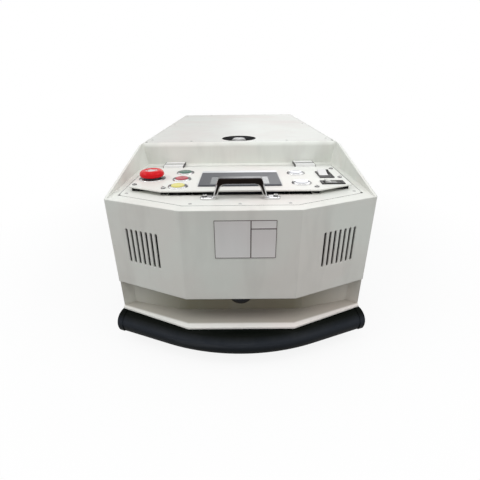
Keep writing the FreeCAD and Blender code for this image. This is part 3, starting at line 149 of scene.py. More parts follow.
def seen_directly(tree):
    """1 for rays from the camera, from a mirror and through glass."""
    path = shader(tree, "LightPath")
    flat = maths(tree, "MAXIMUM", path.outputs["Is Camera Ray"], path.outputs["Is Glossy Ray"])
    return maths(tree, "MAXIMUM", flat, path.outputs["Is Transmission Ray"])


AIR_TINT, AIR_STRENGTH = (0.97, 0.985, 1.0, 1), 0.55
WHITE_LIGHT = (1, 1, 1, 1)
world = bpy.data.worlds.new("studio_air")
world.use_nodes = True
scene.world = world
air = world.node_tree
ambient = air.nodes["Background"]
ambient.inputs["Color"].default_value = AIR_TINT
ambient.inputs["Strength"].default_value = AIR_STRENGTH
backdrop = shader(air, "Background", Color=WHITE_LIGHT, Strength=1.0)
switch = shader(air, "MixShader", Fac=seen_directly(air))
air.links.new(ambient.outputs[0], switch.inputs[1])
air.links.new(backdrop.outputs[0], switch.inputs[2])
air.links.new(switch.outputs[0], air.nodes["World Output"].inputs["Surface"])

# The floor throws little light back. Round the vehicle it keeps the shadow, and further out
# it turns into the white of the backdrop.
FLOOR_SIZE = 14
FLOOR_BOUNCE = (0.24, 0.24, 0.23, 1)
FLOOR_SEEN = (0.86, 0.86, 0.86, 1)
SHADOW_REACH, WHITE_FROM = 0.4, 0.75
NEAR_WHITENESS = 0.86
bpy.ops.mesh.primitive_plane_add(size=FLOOR_SIZE)
floor = bpy.context.object
floor.name = "studio_floor"
floor_finish = bpy.data.materials.new("studio_floor")
floor_finish.use_nodes = True
tree = floor_finish.node_tree
sight = seen_directly(tree)
from_middle = vector_maths(tree, "LENGTH", shader(tree, "TexCoord").outputs["Object"])["Value"]
whiteness = ramp(tree, from_middle, SHADOW_REACH, WHITE_FROM, NEAR_WHITENESS)
card = tree.nodes["Principled BSDF"]
tree.links.new(mixed(tree, sight, FLOOR_BOUNCE, FLOOR_SEEN), card.inputs["Base Color"])
card.inputs["Roughness"].default_value = 0.95
card.inputs["Specular IOR Level"].default_value = 0.0
glow = shader(tree, "Emission", Color=WHITE_LIGHT, Strength=1.0)
lift_white = shader(tree, "MixShader", Fac=maths(tree, "MULTIPLY", sight, whiteness))
tree.links.new(card.outputs[0], lift_white.inputs[1])
tree.links.new(glow.outputs[0], lift_white.inputs[2])
tree.links.new(lift_white.outputs[0], tree.nodes["Material Output"].inputs["Surface"])
floor.data.materials.append(floor_finish)


# ---- Painted sheet ------------------------------------------------------------------------
# Housing, cover, lid, panel, walls and floor plates are folded steel sheet in a warm white
# powder coat: fine orange peel, faint smudges, dust in the lower parts and worn folds.

def new_group(name, inputs, outputs):
    """An empty node group with named sockets, its inputs' outputs and its output node."""
    group = bpy.data.node_groups.new(name, "ShaderNodeTree")
    for label, kind, value in inputs:
        socket = group.interface.new_socket(label, in_out="INPUT", socket_type="NodeSocket" + kind)
        socket.default_value = value
    for label, kind in outputs:
        group.interface.new_socket(label, in_out="OUTPUT", socket_type="NodeSocket" + kind)
    return group, group.nodes.new("NodeGroupInput").outputs, group.nodes.new("NodeGroupOutput")


def put_out(group, result, **values):
    """A group's outputs get what feeds them."""
    for name, value in values.items():
        group.links.new(value, result.inputs[name])
    return group


def noise(tree, place, scale, detail=2.0, stretch=None):
    """A noise pattern, squeezed along each axis by stretch."""
    if stretch:
        place = shader(tree, "Mapping", Vector=place, Scale=stretch).outputs[0]
    return shader(tree, "TexNoise", Vector=place, Scale=scale, Detail=detail,
                  Roughness=0.55).outputs["Fac"]


# cosine of an edge's turn away from its face, where wear starts and where it is full
EDGE_STARTS, EDGE_FULL = 0.995, 0.86


def build_edge_wear():
    """Mask of the outer edges, broken up, and the normal that rounds them."""
    group, given, result = new_group(
        "edge_wear", [("Radius", "Float", 0.001), ("Breakup", "Float", 60.0)],
        [("Edge", "Float"), ("Normal", "Vector")])
    soft = shader(group, "Bevel", {"samples": 4}, Radius=given["Radius"])
    flat = shader(group, "NewGeometry").outputs["Normal"]
    facing = vector_maths(group, "DOT_PRODUCT", soft.outputs[0], flat)["Value"]
    turn = ramp(group, facing, EDGE_STARTS, EDGE_FULL)
    patches = noise(group, shader(group, "TexCoord").outputs["Object"], given["Breakup"], 3)
    edge = maths(group, "MULTIPLY", turn, ramp(group, patches, 0.35, 0.65))
    return put_out(group, result, Edge=edge, Normal=soft.outputs[0])


edge_wear = build_edge_wear()


# repeats of each pattern in a metre
CLOUDS, RUNS, DUST_SPOTS, SPECKS, FLECK_PATCHES, ORANGE_PEEL = 6, 9, 26, 55.0, 11, 750
RUN_STRETCH = (3.0, 3.0, 0.7)
ROSY, SMUDGE = (1.0, 0.945, 0.95, 1), (0.42, 0.41, 0.38, 1)
DUST, FLECK, WORN = (0.36, 0.33, 0.28, 1), (0.2, 0.19, 0.17, 1), (0.93, 0.93, 0.9, 1)
DUST_FADE = 120 * MM
FLECK_SIZE = 0.035


def build_powder_coat():
    """Colour, roughness and relief of powder-coated sheet."""
    group, given, result = new_group(
        "powder_coat", [("Paint", "Color", (0.8, 0.8, 0.76, 1)), ("Smudges", "Float", 0.5),
                        ("Dust Height", "Float", 0.16), ("Dust", "Float", 0.5),
                        ("Edge Radius", "Float", 0.0012)],
        [("Color", "Color"), ("Roughness", "Float"), ("Normal", "Vector")])
    place = shader(group, "TexCoord").outputs["Object"]
    clouds = noise(group, place, CLOUDS, 3)
    runs = noise(group, place, RUNS, 3, RUN_STRETCH)
    rosy = mixed(group, 1.0, given["Paint"], ROSY, "MULTIPLY")
    warm = mixed(group, ramp(group, clouds, 0.42, 0.64), given["Paint"], rosy)
    smudge = maths(group, "MULTIPLY", ramp(group, runs, 0.5, 0.75), given["Smudges"])
    smudged = mixed(group, maths(group, "MULTIPLY", smudge, 0.2), warm, SMUDGE)
    height = shader(group, "SeparateXYZ", Vector=place).outputs["Z"]
    below = maths(group, "SUBTRACT", given["Dust Height"], height)
    low_down = ramp(group, maths(group, "DIVIDE", below, DUST_FADE), 0.0, 1.0)
    dust_spots = ramp(group, noise(group, place, DUST_SPOTS, 5), 0.3, 0.8)
    dust = maths(group, "MULTIPLY", maths(group, "MULTIPLY", low_down, dust_spots), given["Dust"])
    dusty = mixed(group, dust, smudged, DUST)
    specks = shader(group, "TexVoronoi", Vector=place, Scale=SPECKS).outputs["Distance"]
    fleck = maths(group, "MULTIPLY", maths(group, "LESS_THAN", specks, FLECK_SIZE),
                  ramp(group, noise(group, place, FLECK_PATCHES, 1), 0.5, 0.7))
    flecked = mixed(group, maths(group, "MULTIPLY", fleck, 0.6), dusty, FLECK)
    worn = shader(group, "Group", {"node_tree": edge_wear}, Radius=given["Edge Radius"],
                  Breakup=38.0)
    colour = mixed(group, maths(group, "MULTIPLY", worn.outputs["Edge"], 0.3), flecked, WORN)
    peel = noise(group, place, ORANGE_PEEL, 2)
    relief = shader(group, "Bump", Strength=0.10, Distance=0.0004, Height=peel,
                    Normal=worn.outputs["Normal"])
    clean = ramp(group, clouds, 0.3, 0.7, 0.4, 0.52)
    rough = maths(group, "ADD", clean, maths(group, "MULTIPLY", dust, 0.3))
    return put_out(group, result, Color=colour, Roughness=rough, Normal=relief.outputs[0])


powder_coat = build_powder_coat()


def look(group, metallic=0.0, **values):
    """One look of a surface: its node group, how metallic it is and the group's values."""
    return group, metallic, values


def mixed_value(tree, share, first, second):
    """The output of a Mix node for plain numbers."""
    if first == second:
        return first
    made = shader(tree, "Mix", {"data_type": "FLOAT"})
    for number, value in ((0, share), (2, first), (3, second)):
        feed(tree, made.inputs[number], value)
    return made.outputs[0]


def finish(name, base, *layers, **plain):
    """A material with the base look, and each layer's look where that layer's mask is 1.
    Plain values sit on the shader itself."""
    material = bpy.data.materials.new(name)
    material.use_nodes = True
    tree = material.node_tree
    surface = tree.nodes["Principled BSDF"]
    for socket, value in plain.items():
        surface.inputs[socket.replace("_", " ")].default_value = value
    group, metallic, values = base
    made = shader(tree, "Group", {"node_tree": group}, **values)
    colour, rough = made.outputs["Color"], made.outputs["Roughness"]
    for mask, (group, metal, values) in layers:
        share = mask(tree, shader(tree, "TexCoord"))
        over = shader(tree, "Group", {"node_tree": group}, **values)
        colour = mixed(tree, share, colour, over.outputs["Color"])
        rough = mixed_value(tree, share, rough, over.outputs["Roughness"])
        metallic = mixed_value(tree, share, metallic, metal)
    feed(tree, surface.inputs["Base Color"], colour)
    feed(tree, surface.inputs["Roughness"], rough)
    feed(tree, surface.inputs["Metallic"], metallic)
    feed(tree, surface.inputs["Normal"], made.outputs["Normal"])
    return material


MASK_BORDER = 0.0002


def coordinate(tree, coordinates, axis):
    """One of a point's own coordinates on the piece."""
    return shader(tree, "SeparateXYZ", Vector=coordinates.outputs["Object"]).outputs[axis]


def from_middle_plane(tree, coordinates):
    """A point's distance from the plane that halves the vehicle."""
    return maths(tree, "ABSOLUTE", coordinate(tree, coordinates, "X"))


def within(tree, value, low, high, soft=MASK_BORDER):
    """1 where value lies from low to high, with narrow borders."""
    return maths(tree, "MULTIPLY", ramp(tree, value, low - soft, low + soft),
                 ramp(tree, value, high - soft, high + soft, 1.0, 0.0))


def slab(axis, low, high):
    """Mask of the slab from low to high along an axis, in metres."""
    return lambda tree, coordinates: within(tree, coordinate(tree, coordinates, axis), low, high)


def both(first, second, operation="MULTIPLY"):
    """Mask of what two masks share."""
    return lambda tree, coordinates: maths(tree, operation, first(tree, coordinates),
                                           second(tree, coordinates))


def either(first, second):
    """Mask of what one mask or the other covers."""
    return both(first, second, "MAXIMUM")


def offset(tree, coordinates, centre, keep):
    """Vector from a line through the centre, its parts kept or dropped by keep."""
    away = vector_maths(tree, "SUBTRACT", coordinates.outputs["Object"], centre)["Vector"]
    return vector_maths(tree, "MULTIPLY", away, keep)["Vector"]


def tube(centre, keep, inner, outer):
    """Mask of the space between two radii round a line through the centre."""
    return lambda tree, coordinates: within(
        tree, vector_maths(tree, "LENGTH", offset(tree, coordinates, centre, keep))["Value"],
        inner, outer)


def block(low, high):
    """Mask of a block between two corners, in metres."""
    return both(both(slab("X", low[0], high[0]), slab("Y", low[1], high[1])),
                slab("Z", low[2], high[2]))


def dress(material, *names):
    """Give CAD nodes their finish."""
    for name in names:
        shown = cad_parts[name]
        shown.data.materials.clear()
        shown.data.materials.append(material)


# ---- Moulded plastic and rubber -----------------------------------------------------------
# Switches, lenses, display, scanner and battery cases are injection-moulded plastic. Bumper,
# blocks and tyres are rubber and polyurethane, dusty and scuffed where they rub.

MOULD_PATCHES, RUBS = 32, 14
RUB_STRETCH = (0.5, 2.0, 5.0)
RUBBED, SETTLED_DUST = (0.42, 0.42, 0.42, 1), (0.5, 0.47, 0.42, 1)


def build_moulded():
    """Colour, roughness and relief of moulded plastic and rubber."""
    group, given, result = new_group(
        "moulded", [("Shade", "Color", (0.1, 0.1, 0.1, 1)), ("Gloss", "Float", 0.4),
                    ("Grain Size", "Float", 0.0005), ("Relief", "Float", 0.1),
                    ("Dust", "Float", 0.2), ("Scuffs", "Float", 0.2),
                    ("Edge Radius", "Float", 0.0004)],
        [("Color", "Color"), ("Roughness", "Float"), ("Normal", "Vector")])
    given_place = shader(group, "TexCoord").outputs
    place = given_place["Object"]
    grain = noise(group, place, maths(group, "DIVIDE", 1.0, given["Grain Size"]), 3)
    up = shader(group, "SeparateXYZ", Vector=given_place["Normal"])
    lying = ramp(group, up.outputs["Z"], 0.2, 0.95)
    patches = ramp(group, noise(group, place, MOULD_PATCHES, 5), 0.38, 0.75)
    dust = maths(group, "MULTIPLY", maths(group, "MULTIPLY", lying, patches), given["Dust"])
    rubbed = ramp(group, noise(group, place, RUBS, 5, RUB_STRETCH), 0.55, 0.72)
    scuff = maths(group, "MULTIPLY", rubbed, given["Scuffs"])
    scuffed = mixed(group, maths(group, "MULTIPLY", scuff, 0.12), given["Shade"], RUBBED)
    colour = mixed(group, maths(group, "MULTIPLY", dust, 0.35), scuffed, SETTLED_DUST)
    soft = shader(group, "Group", {"node_tree": edge_wear}, Radius=given["Edge Radius"])
    relief = shader(group, "Bump", Strength=given["Relief"], Distance=0.0003, Height=grain,
                    Normal=soft.outputs["Normal"])
    rough = maths(group, "ADD", given["Gloss"],
                  maths(group, "MULTIPLY", maths(group, "ADD", dust, scuff), 0.3))
    return put_out(group, result, Color=colour, Roughness=rough, Normal=relief.outputs[0])


moulded = build_moulded()


def plastic(shade, **values):
    """The look of one moulding."""
    return look(moulded, Shade=(*shade, 1), **values)


# ---- Plated and bare metal ----------------------------------------------------------------
# Hinges, screws and castor parts are zinc plated, lift parts are ground steel, and motors are
# cast aluminium. Each shows fine scratches and a little dulling.

SCRATCHES, DULL_SPOTS = 1100, 90
DULLING = (0.62, 0.60, 0.57, 1)


def build_metal_wear():
    """Colour, roughness and relief of worked metal, scratched along one axis."""
    group, given, result = new_group(
        "metal_wear", [("Metal", "Color", (0.7, 0.7, 0.7, 1)), ("Gloss", "Float", 0.3),
                       ("Blotches", "Float", 0.3), ("Grain", "Vector", (1.0, 1.0, 1.0)),
                       ("Relief", "Float", 0.1), ("Edge Radius", "Float", 0.0003)],
        [("Color", "Color"), ("Roughness", "Float"), ("Normal", "Vector")])
    place = shader(group, "TexCoord").outputs["Object"]
    along_grain = vector_maths(group, "MULTIPLY", place, given["Grain"])["Vector"]
    scratches = noise(group, along_grain, SCRATCHES, 3)
    clouds = noise(group, place, DULL_SPOTS, 4)
    dull = maths(group, "MULTIPLY", ramp(group, clouds, 0.42, 0.7), given["Blotches"])
    colour = mixed(group, dull, given["Metal"],
                   mixed(group, 1.0, given["Metal"], DULLING, "MULTIPLY"))
    rough = maths(group, "ADD", given["Gloss"],
                  maths(group, "MULTIPLY", maths(group, "ADD", dull, scratches), 0.14))
    soft = shader(group, "Group", {"node_tree": edge_wear}, Radius=given["Edge Radius"])
    relief = shader(group, "Bump", Strength=given["Relief"], Distance=0.0002, Height=scratches,
                    Normal=soft.outputs["Normal"])
    return put_out(group, result, Color=colour, Roughness=rough, Normal=relief.outputs[0])


metal_wear = build_metal_wear()


def metal(shade, metallic=1.0, **values):
    """The look of one worked metal."""
    return look(metal_wear, metallic, Metal=(*shade, 1), **values)


ZINC = metal((0.52, 0.52, 0.51), Gloss=0.28, Blotches=0.35, Grain=(0.2, 1.0, 1.0), Relief=0.12)
STEEL = metal((0.48, 0.48, 0.475), Gloss=0.2, Blotches=0.25, Grain=(1.0, 1.0, 6.0), Relief=0.08)
CHROME = metal((0.66, 0.66, 0.66), Gloss=0.06, Blotches=0.1, Relief=0.01, Edge_Radius=0.0002)
CAST = metal((0.42, 0.43, 0.45), Gloss=0.42, Blotches=0.3, Relief=0.5)
ALUMINIUM = metal((0.7, 0.71, 0.72), Gloss=0.3, Blotches=0.2, Grain=(1.0, 0.1, 1.0), Relief=0.1)
BLACK = plastic((0.008, 0.008, 0.009), Gloss=0.35, Relief=0.12, Dust=0.2)
zinc = finish("zinc_plate", ZINC)
steel = finish("ground_steel", STEEL)
MATT = {"Specular_IOR_Level": 0.12}
black_plastic = finish("black_plastic", BLACK, **MATT)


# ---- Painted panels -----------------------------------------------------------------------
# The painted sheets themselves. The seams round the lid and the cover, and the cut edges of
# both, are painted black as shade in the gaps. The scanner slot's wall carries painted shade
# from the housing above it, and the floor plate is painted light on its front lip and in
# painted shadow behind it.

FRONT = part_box("upper_housing")[0].y
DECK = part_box("console_lid")[1].z / MM
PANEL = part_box("control_panel")[1].z / MM
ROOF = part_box("top_cover")[1].z / MM
# millimetres, sideways from the middle and inwards from the flat front
NOSE_HALF = 82
NOSE_SLOPE = 0.4214
FOLD_WIDTH = (9, 10)
LIP_WIDTH = (-1, 3)
LID_SEAM = ((-186, 17), (186, 256))
COVER_SEAM = ((-196.5, 293.5), (196.5, 912.5))
SEAM_SHADE_SUNK = 0.35
SHADE_FULL, SHADE_FADED = 85, 175


def depth(y):
    """The Y of a depth behind the flat front, given in millimetres."""
    return FRONT + y * MM


def spot(x, y, z):
    """A place given in millimetres, with y counted from the flat front."""
    return Vector((x * MM, depth(y), z * MM))


def upright(tree, coordinates):
    """Mask of the sheet's cut edges, which stand upright."""
    facing = shader(tree, "SeparateXYZ", Vector=coordinates.outputs["Normal"]).outputs["Z"]
    return maths(tree, "LESS_THAN", maths(tree, "ABSOLUTE", facing), 0.5)


def behind_front(first, last):
    """Mask of what lies behind the housing's front edge, seen from above. It grows from the
    first depth to the last, in millimetres."""
    def mask(tree, coordinates):
        sideways = from_middle_plane(tree, coordinates)
        beyond = maths(tree, "MAXIMUM", maths(tree, "SUBTRACT", sideways, NOSE_HALF * MM), 0.0)
        edge = maths(tree, "ADD", maths(tree, "MULTIPLY", beyond, NOSE_SLOPE), FRONT)
        inwards = maths(tree, "SUBTRACT", coordinate(tree, coordinates, "Y"), edge)
        return ramp(tree, inwards, first * MM, last * MM)
    return mask


def slot_shade(tree, coordinates):
    """Mask of painted shade on the slot's wall, full in its middle and fading out to its sides."""
    return ramp(tree, from_middle_plane(tree, coordinates), SHADE_FULL * MM, SHADE_FADED * MM,
                1.0, 0.3)


def seam_shade(seam, top, height):
    """Mask of painted shade in a seam below a sheet's top, between the seam's two corners."""
    (left, front), (right, rear) = seam
    return block(spot(left, front, top - height), spot(right, rear, top - SEAM_SHADE_SUNK))


def coated(paint, edge, smudges, dust=0.0, **values):
    """The look of powder-coated sheet in one colour, with its folds rounded by edge."""
    return look(powder_coat, Paint=(*paint, 1), Edge_Radius=edge, Smudges=smudges,
                Dust=dust, **values)


COAT = {"Specular_IOR_Level": 0.25, "Coat_Weight": 0.05, "Coat_Roughness": 0.3}
SLOT_WALL_SHADE = coated((0.27, 0.255, 0.19), edge=0.0012, smudges=1.0)
# painted shadow of the housing on the floor plate behind its lip
PLATE_SHADOW = coated((0.44, 0.42, 0.37), edge=0.0012, smudges=1.0)
CONSOLE = coated((0.80, 0.81, 0.765), edge=0.0007, smudges=0.25)
WALL = (0.76, 0.755, 0.695)
HOUSING = coated((0.79, 0.805, 0.755), edge=0.002, smudges=1.0, dust=0.25, Dust_Height=0.17)
# the seams round the lid and the cover are painted black as the shade in their gaps
lid_seam_shade = both(behind_front(*FOLD_WIDTH), seam_shade(LID_SEAM, DECK, height=12))
cover_seam_shade = seam_shade(COVER_SEAM, ROOF, height=8)
housing_paint = finish("housing_paint", HOUSING, (lid_seam_shade, BLACK), (cover_seam_shade, BLACK), **COAT)
# the cover's cut edges are painted black as the shade in its seam
cover_paint = finish("cover_paint", coated((0.68, 0.69, 0.655), edge=0.0008, smudges=0.5),
                     (upright, BLACK), **MATT)
lower_paint = finish("lower_paint", coated(WALL, edge=0.001, smudges=0.9, dust=0.55,
                                           Dust_Height=0.15), **COAT)
# the front lip, out from under the housing, is painted light, and the plate behind it carries
# painted shadow
lip_paint = finish("lip_paint", coated((0.90, 0.90, 0.86), edge=0.001, smudges=0.4),
                   (behind_front(*LIP_WIDTH), PLATE_SHADOW), **COAT)
# the slot's wall carries painted shade from the housing above it, darkest in its middle
slot_paint = finish("slot_paint", coated(WALL, edge=0.001, smudges=0.9), (slot_shade, SLOT_WALL_SHADE),
                    **COAT)
dress(housing_paint, "upper_housing")
dress(cover_paint, "top_cover")
dress(finish("console_paint", CONSOLE, **COAT), "control_panel")
# the lid's cut edges are painted black as the shade in its seam
dress(finish("lid_paint", CONSOLE, (upright, BLACK), **COAT), "console_lid")
dress(lower_paint, "base_plate_rear", "lower_walls")
dress(lip_paint, "base_plate_front")
dress(slot_paint, "scanner_bay")


# ---- Caution plate ------------------------------------------------------------------------
# A blank plate on the flat front: thin aluminium, printed with a dark frame round three plain
# fields, and glued on. It carries no words and no sign.

PLATE_SIZE = (85, 0.6, 57)
PLATE_MIDDLE = (6.5, -0.3, 205.5)
FIELD_SPLIT = 14
BAND_SPLIT = 221.5
FRAME_LINE, FRAME_SUNK = 0.75, 0.1
SMOOTH_ANGLE = 35
# the share of a face's normal along an axis that it faces, roughly or squarely
FACING, SQUARELY = 0.9, 0.999


def alone(piece):
    """Only this piece is selected, and it is the active one."""
    bpy.ops.object.select_all(action="DESELECT")
    piece.select_set(True)
    bpy.context.view_layer.objects.active = piece


def primitive(kind, **settings):
    """A primitive with its place and size in its mesh, and nothing else selected."""
    bpy.ops.object.select_all(action="DESELECT")
    getattr(bpy.ops.mesh, f"primitive_{kind}_add")(**settings)
    bpy.ops.object.transform_apply(location=True, rotation=True, scale=True)
    return bpy.context.object


def pick(piece, wanted):
    """In edit mode, only the faces that are wanted are selected."""
    bpy.ops.mesh.select_mode(type="FACE")
    bpy.ops.mesh.select_all(action="DESELECT")
    mesh = bmesh.from_edit_mesh(piece.data)
    for face in mesh.faces:
        face.select_set(wanted(face))
    bmesh.update_edit_mesh(piece.data)


def settle(piece, name, body, slot, *materials):
    """A finished piece gets its name, materials and body; its finish slot is not used."""
    alone(piece)
    bpy.ops.object.shade_smooth_by_angle(angle=math.radians(SMOOTH_ANGLE))
    piece.name = name
    for material in materials:
        piece.data.materials.append(material)
    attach(piece, body)


plate = primitive("cube", size=1, location=spot(*PLATE_MIDDLE),
                  scale=[side * MM for side in PLATE_SIZE])
bpy.ops.object.mode_set(mode="EDIT")
bpy.ops.mesh.bisect(plane_co=(FIELD_SPLIT * MM, 0, 0), plane_no=(1, 0, 0))
pick(plate, lambda face: face.calc_center_median().x > FIELD_SPLIT * MM)
bpy.ops.mesh.bisect(plane_co=(0, 0, BAND_SPLIT * MM), plane_no=(0, 0, 1))
pick(plate, lambda face: face.normal.y < -FACING)
bpy.ops.mesh.inset(thickness=FRAME_LINE * MM, depth=-FRAME_SUNK * MM, use_individual=True)
bpy.ops.object.mode_set(mode="OBJECT")
plate_frame = finish("plate_frame", plastic((0.08, 0.055, 0.055), Gloss=0.45), **MATT)
plate_field = finish("plate_field", coated((0.78, 0.765, 0.755), edge=0.0002, smudges=0.5), **COAT)
settle(plate, "caution_plate_blank", "chassis", "powder_coat", plate_frame, plate_field)
# the fields face straight forwards, and the lines of the frame slope down to them
for face in plate.data.polygons:
    face.material_index = 1 if face.normal.y < -SQUARELY else 0


# ---- Console screws -----------------------------------------------------------------------
# Zinc-plated button-head screws with a hexagon socket hold the panel on its rubber blocks and
# the handle on the lid. Small flat ones close the lid and the cover.

PANEL_SCREWS = ((-117, 78.5), (117, 78.5), (-166.5, 99), (166.5, 132), (-167, 191), (167, 191))
HANDLE_SCREWS = ((-51.5, 49.5), (51.5, 49.5))
LID_SCREWS = ((-70, 28.5), (0, 26.5), (70, 28.5), (-175, 80), (175, 80))
HANDLE_FOOT = DECK + 4
ROUND_SIDES = 28
FLAT_HEAD_BASE = 0.85
# shares of a screw head's radius or height
SHANK_INSET, CUTTER_HEIGHT, BRIGHT_ABOVE = 0.42, 1.3, 0.6


def socket_head(radius, height, rounding, socket, stub):
    """A screw head on the origin with a rounded rim, a hexagon socket and a stub of shank."""
    head = primitive("cylinder", vertices=ROUND_SIDES, radius=radius * MM, depth=height * MM,
                     location=(0, 0, height / 2 * MM))
    bpy.ops.object.mode_set(mode="EDIT")
    pick(head, lambda face: face.normal.z > FACING)
    bpy.ops.mesh.bevel(offset=rounding * MM, segments=3, affect="EDGES")
    pick(head, lambda face: face.normal.z < -FACING)
    bpy.ops.mesh.inset(thickness=radius * SHANK_INSET * MM, depth=0)
    bpy.ops.mesh.extrude_region_move(TRANSFORM_OT_translate={"value": (0, 0, -stub * MM)})
    bpy.ops.object.mode_set(mode="OBJECT")
    cutter = primitive("cylinder", vertices=6, radius=socket * MM,
                       depth=height * CUTTER_HEIGHT * MM, location=(0, 0, height * MM))
    carve = head.modifiers.new("socket", "BOOLEAN")
    carve.operation = "DIFFERENCE"
    carve.object = cutter
    alone(head)
    bpy.ops.object.modifier_apply(modifier=carve.name)
    bpy.data.objects.remove(cutter)
    # the top is bright zinc, and the rim and the socket are painted dark as shade
    head.data.materials.append(zinc)
    head.data.materials.append(screw_shade)
    for face in head.data.polygons:
        bright = face.normal.z > 0.6 and face.center.z > height * BRIGHT_ABOVE * MM
        face.material_index = 0 if bright else 1
    return head


def spread(model, places, outwards=(0, 0, 1)):
    """Copies of a model that stands on the origin, one on each place, facing outwards."""
    turn = Vector((0, 0, 1)).rotation_difference(Vector(outwards)).to_euler()
    copies = []
    for place in places:
        copy = model.copy()
        copy.data = model.data.copy()
        bpy.context.collection.objects.link(copy)
        copy.location = place
        copy.rotation_euler = turn
        copies.append(copy)
    return copies


def gather(parts):
    """One piece made from several, with its place in its mesh."""
    bpy.ops.object.select_all(action="DESELECT")
    for part in parts:
        part.select_set(True)
    bpy.context.view_layer.objects.active = parts[0]
    bpy.ops.object.join()
    bpy.ops.object.transform_apply(location=True, rotation=True, scale=True)
    return bpy.context.object


screw_shade = finish("screw_shade", metal((0.10, 0.10, 0.10), Gloss=0.4))
button_head = socket_head(radius=3.6, height=2.0, rounding=1.1, socket=1.75, stub=3)
flat_head = socket_head(radius=2.7, height=1.2, rounding=0.4, socket=1.3, stub=1)
seats = [spot(x, y, PANEL) for x, y in PANEL_SCREWS]
seats += [spot(x, y, HANDLE_FOOT) for x, y in HANDLE_SCREWS]
console_screws = gather(spread(button_head, seats))
settle(console_screws, "button_head_screws", "lid", "zinc")
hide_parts("console_screws")
lid_screws = gather(spread(flat_head, [spot(x, y, DECK - FLAT_HEAD_BASE) for x, y in LID_SCREWS]))
settle(lid_screws, "lid_edge_screws", "lid", "zinc")
cover_low, cover_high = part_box("top_cover")
EDGE_INSET, CORNER_STEP, END_SCREW = 8 * MM, 30 * MM, 100 * MM
side_rows = (cover_low.y + CORNER_STEP, (cover_low.y + cover_high.y) / 2,
             cover_high.y - CORNER_STEP)
end_rows = (cover_low.y + EDGE_INSET, cover_high.y - EDGE_INSET)
cover_seats = [Vector((side * x, y, (ROOF - FLAT_HEAD_BASE) * MM))
               for x, rows in ((cover_high.x - EDGE_INSET, side_rows), (END_SCREW, end_rows))
               for side in (-1, 1) for y in rows]
cover_screws = gather(spread(flat_head, cover_seats))
settle(cover_screws, "cover_screws", "chassis", "zinc")


# ---- Hinges -------------------------------------------------------------------------------
# Two flat hinges of bright zinc-plated steel, a leaf welded to the deck and a leaf welded to
# the lid, rolled into knuckles round one pin. Their knuckles and ends carry painted shade.

HINGE_LINE = 256
HINGE_PLACE = 130
HINGE_HALF = 20
LEAF_EDGE = 0.9
KNUCKLE_HALF = 3.4


def leaf_ends(tree, coordinates):
    """Mask of painted shade along both ends of each hinge."""
    sideways = from_middle_plane(tree, coordinates)
    from_middle = maths(tree, "ABSOLUTE", maths(tree, "SUBTRACT", sideways, HINGE_PLACE * MM))
    return maths(tree, "GREATER_THAN", from_middle, (HINGE_HALF - LEAF_EDGE) * MM)


BRIGHT = metal((0.95, 0.95, 0.95), metallic=0.3, Gloss=0.25, Blotches=0.15, Grain=(0.2, 1.0, 1.0),
               Relief=0.1)
KNUCKLE_SHADE = metal((0.16, 0.16, 0.16), Gloss=0.35)
SHADED = metal((0.10, 0.10, 0.10), Gloss=0.35)
# painted shade along the knuckles and at the hinge ends
knuckles = slab("Y", depth(HINGE_LINE - KNUCKLE_HALF), depth(HINGE_LINE + KNUCKLE_HALF))
bright_zinc = finish("bright_zinc", BRIGHT, (knuckles, KNUCKLE_SHADE), (leaf_ends, SHADED))
dress(bright_zinc, "hinge_leaves_fixed", "hinge_leaves_lid")
dress(steel, "hinge_pins")


# ---- Emergency stop -----------------------------------------------------------------------
# A red moulded mushroom on a grey stem. Its dish carries three curved arrows that show which
# way it twists free. The base ring is turned metal on a black contact block, with a painted dark
# reflection on its left and right ends and painted shade on its collar under the head.

STOP_X, STOP_Y = -146.5, 135
STOP_COLLAR, STOP_REACH = 18, 30
ENDS_START, ENDS_FULL = 0.80, 0.97
DISH_RADIUS, DISH_FLOOR = 10, 13
ARROW_RADIUS, ARROW_HALF = 6.8, 0.8
ARROW_TAIL, ARROW_NECK, ARROW_POINT = 0.08, 0.6, 0.86
ARROW_TAPER = 8.5
UPRIGHT_AXIS = (1, 1, 0)


def ring_ends(centres, reach):
    """Mask of the left and right ends of turned rings, which carry a painted dark reflection, as
    far out from their centres as reach, in millimetres."""
    def mask(tree, coordinates):
        total = 0.0
        for centre in centres:
            flat = offset(tree, coordinates, centre, UPRIGHT_AXIS)
            radius = vector_maths(tree, "LENGTH", flat)["Value"]
            across = shader(tree, "SeparateXYZ", Vector=flat).outputs["X"]
            turn = ramp(tree, maths(tree, "DIVIDE", maths(tree, "ABSOLUTE", across), radius),
                        ENDS_START, ENDS_FULL)
            here = maths(tree, "LESS_THAN", radius, reach * MM)
            total = maths(tree, "ADD", total, maths(tree, "MULTIPLY", turn, here))
        return total
    return mask


def twist_arrows(tree, coordinates):
    """Mask of three curved arrows in the dish of the stop's head."""
    flat = offset(tree, coordinates, stop_axis, UPRIGHT_AXIS)
    parts = shader(tree, "SeparateXYZ", Vector=flat).outputs
    turns = maths(tree, "DIVIDE", maths(tree, "ARCTAN2", parts["Y"], parts["X"]), math.tau / 3)
    along = maths(tree, "FRACT", maths(tree, "ADD", turns, 3.0))
    radius = vector_maths(tree, "LENGTH", flat)["Value"]
    from_line = maths(tree, "ABSOLUTE", maths(tree, "SUBTRACT", radius, ARROW_RADIUS * MM))
    shaft = maths(tree, "MULTIPLY", within(tree, along, ARROW_TAIL, ARROW_NECK, 0.01),
                  maths(tree, "LESS_THAN", from_line, ARROW_HALF * MM))
    taper = maths(tree, "MULTIPLY", maths(tree, "SUBTRACT", ARROW_POINT, along), ARROW_TAPER * MM)
    tip = maths(tree, "MULTIPLY", maths(tree, "GREATER_THAN", along, ARROW_NECK),
                maths(tree, "LESS_THAN", from_line, taper))
    return maths(tree, "MAXIMUM", shaft, tip)


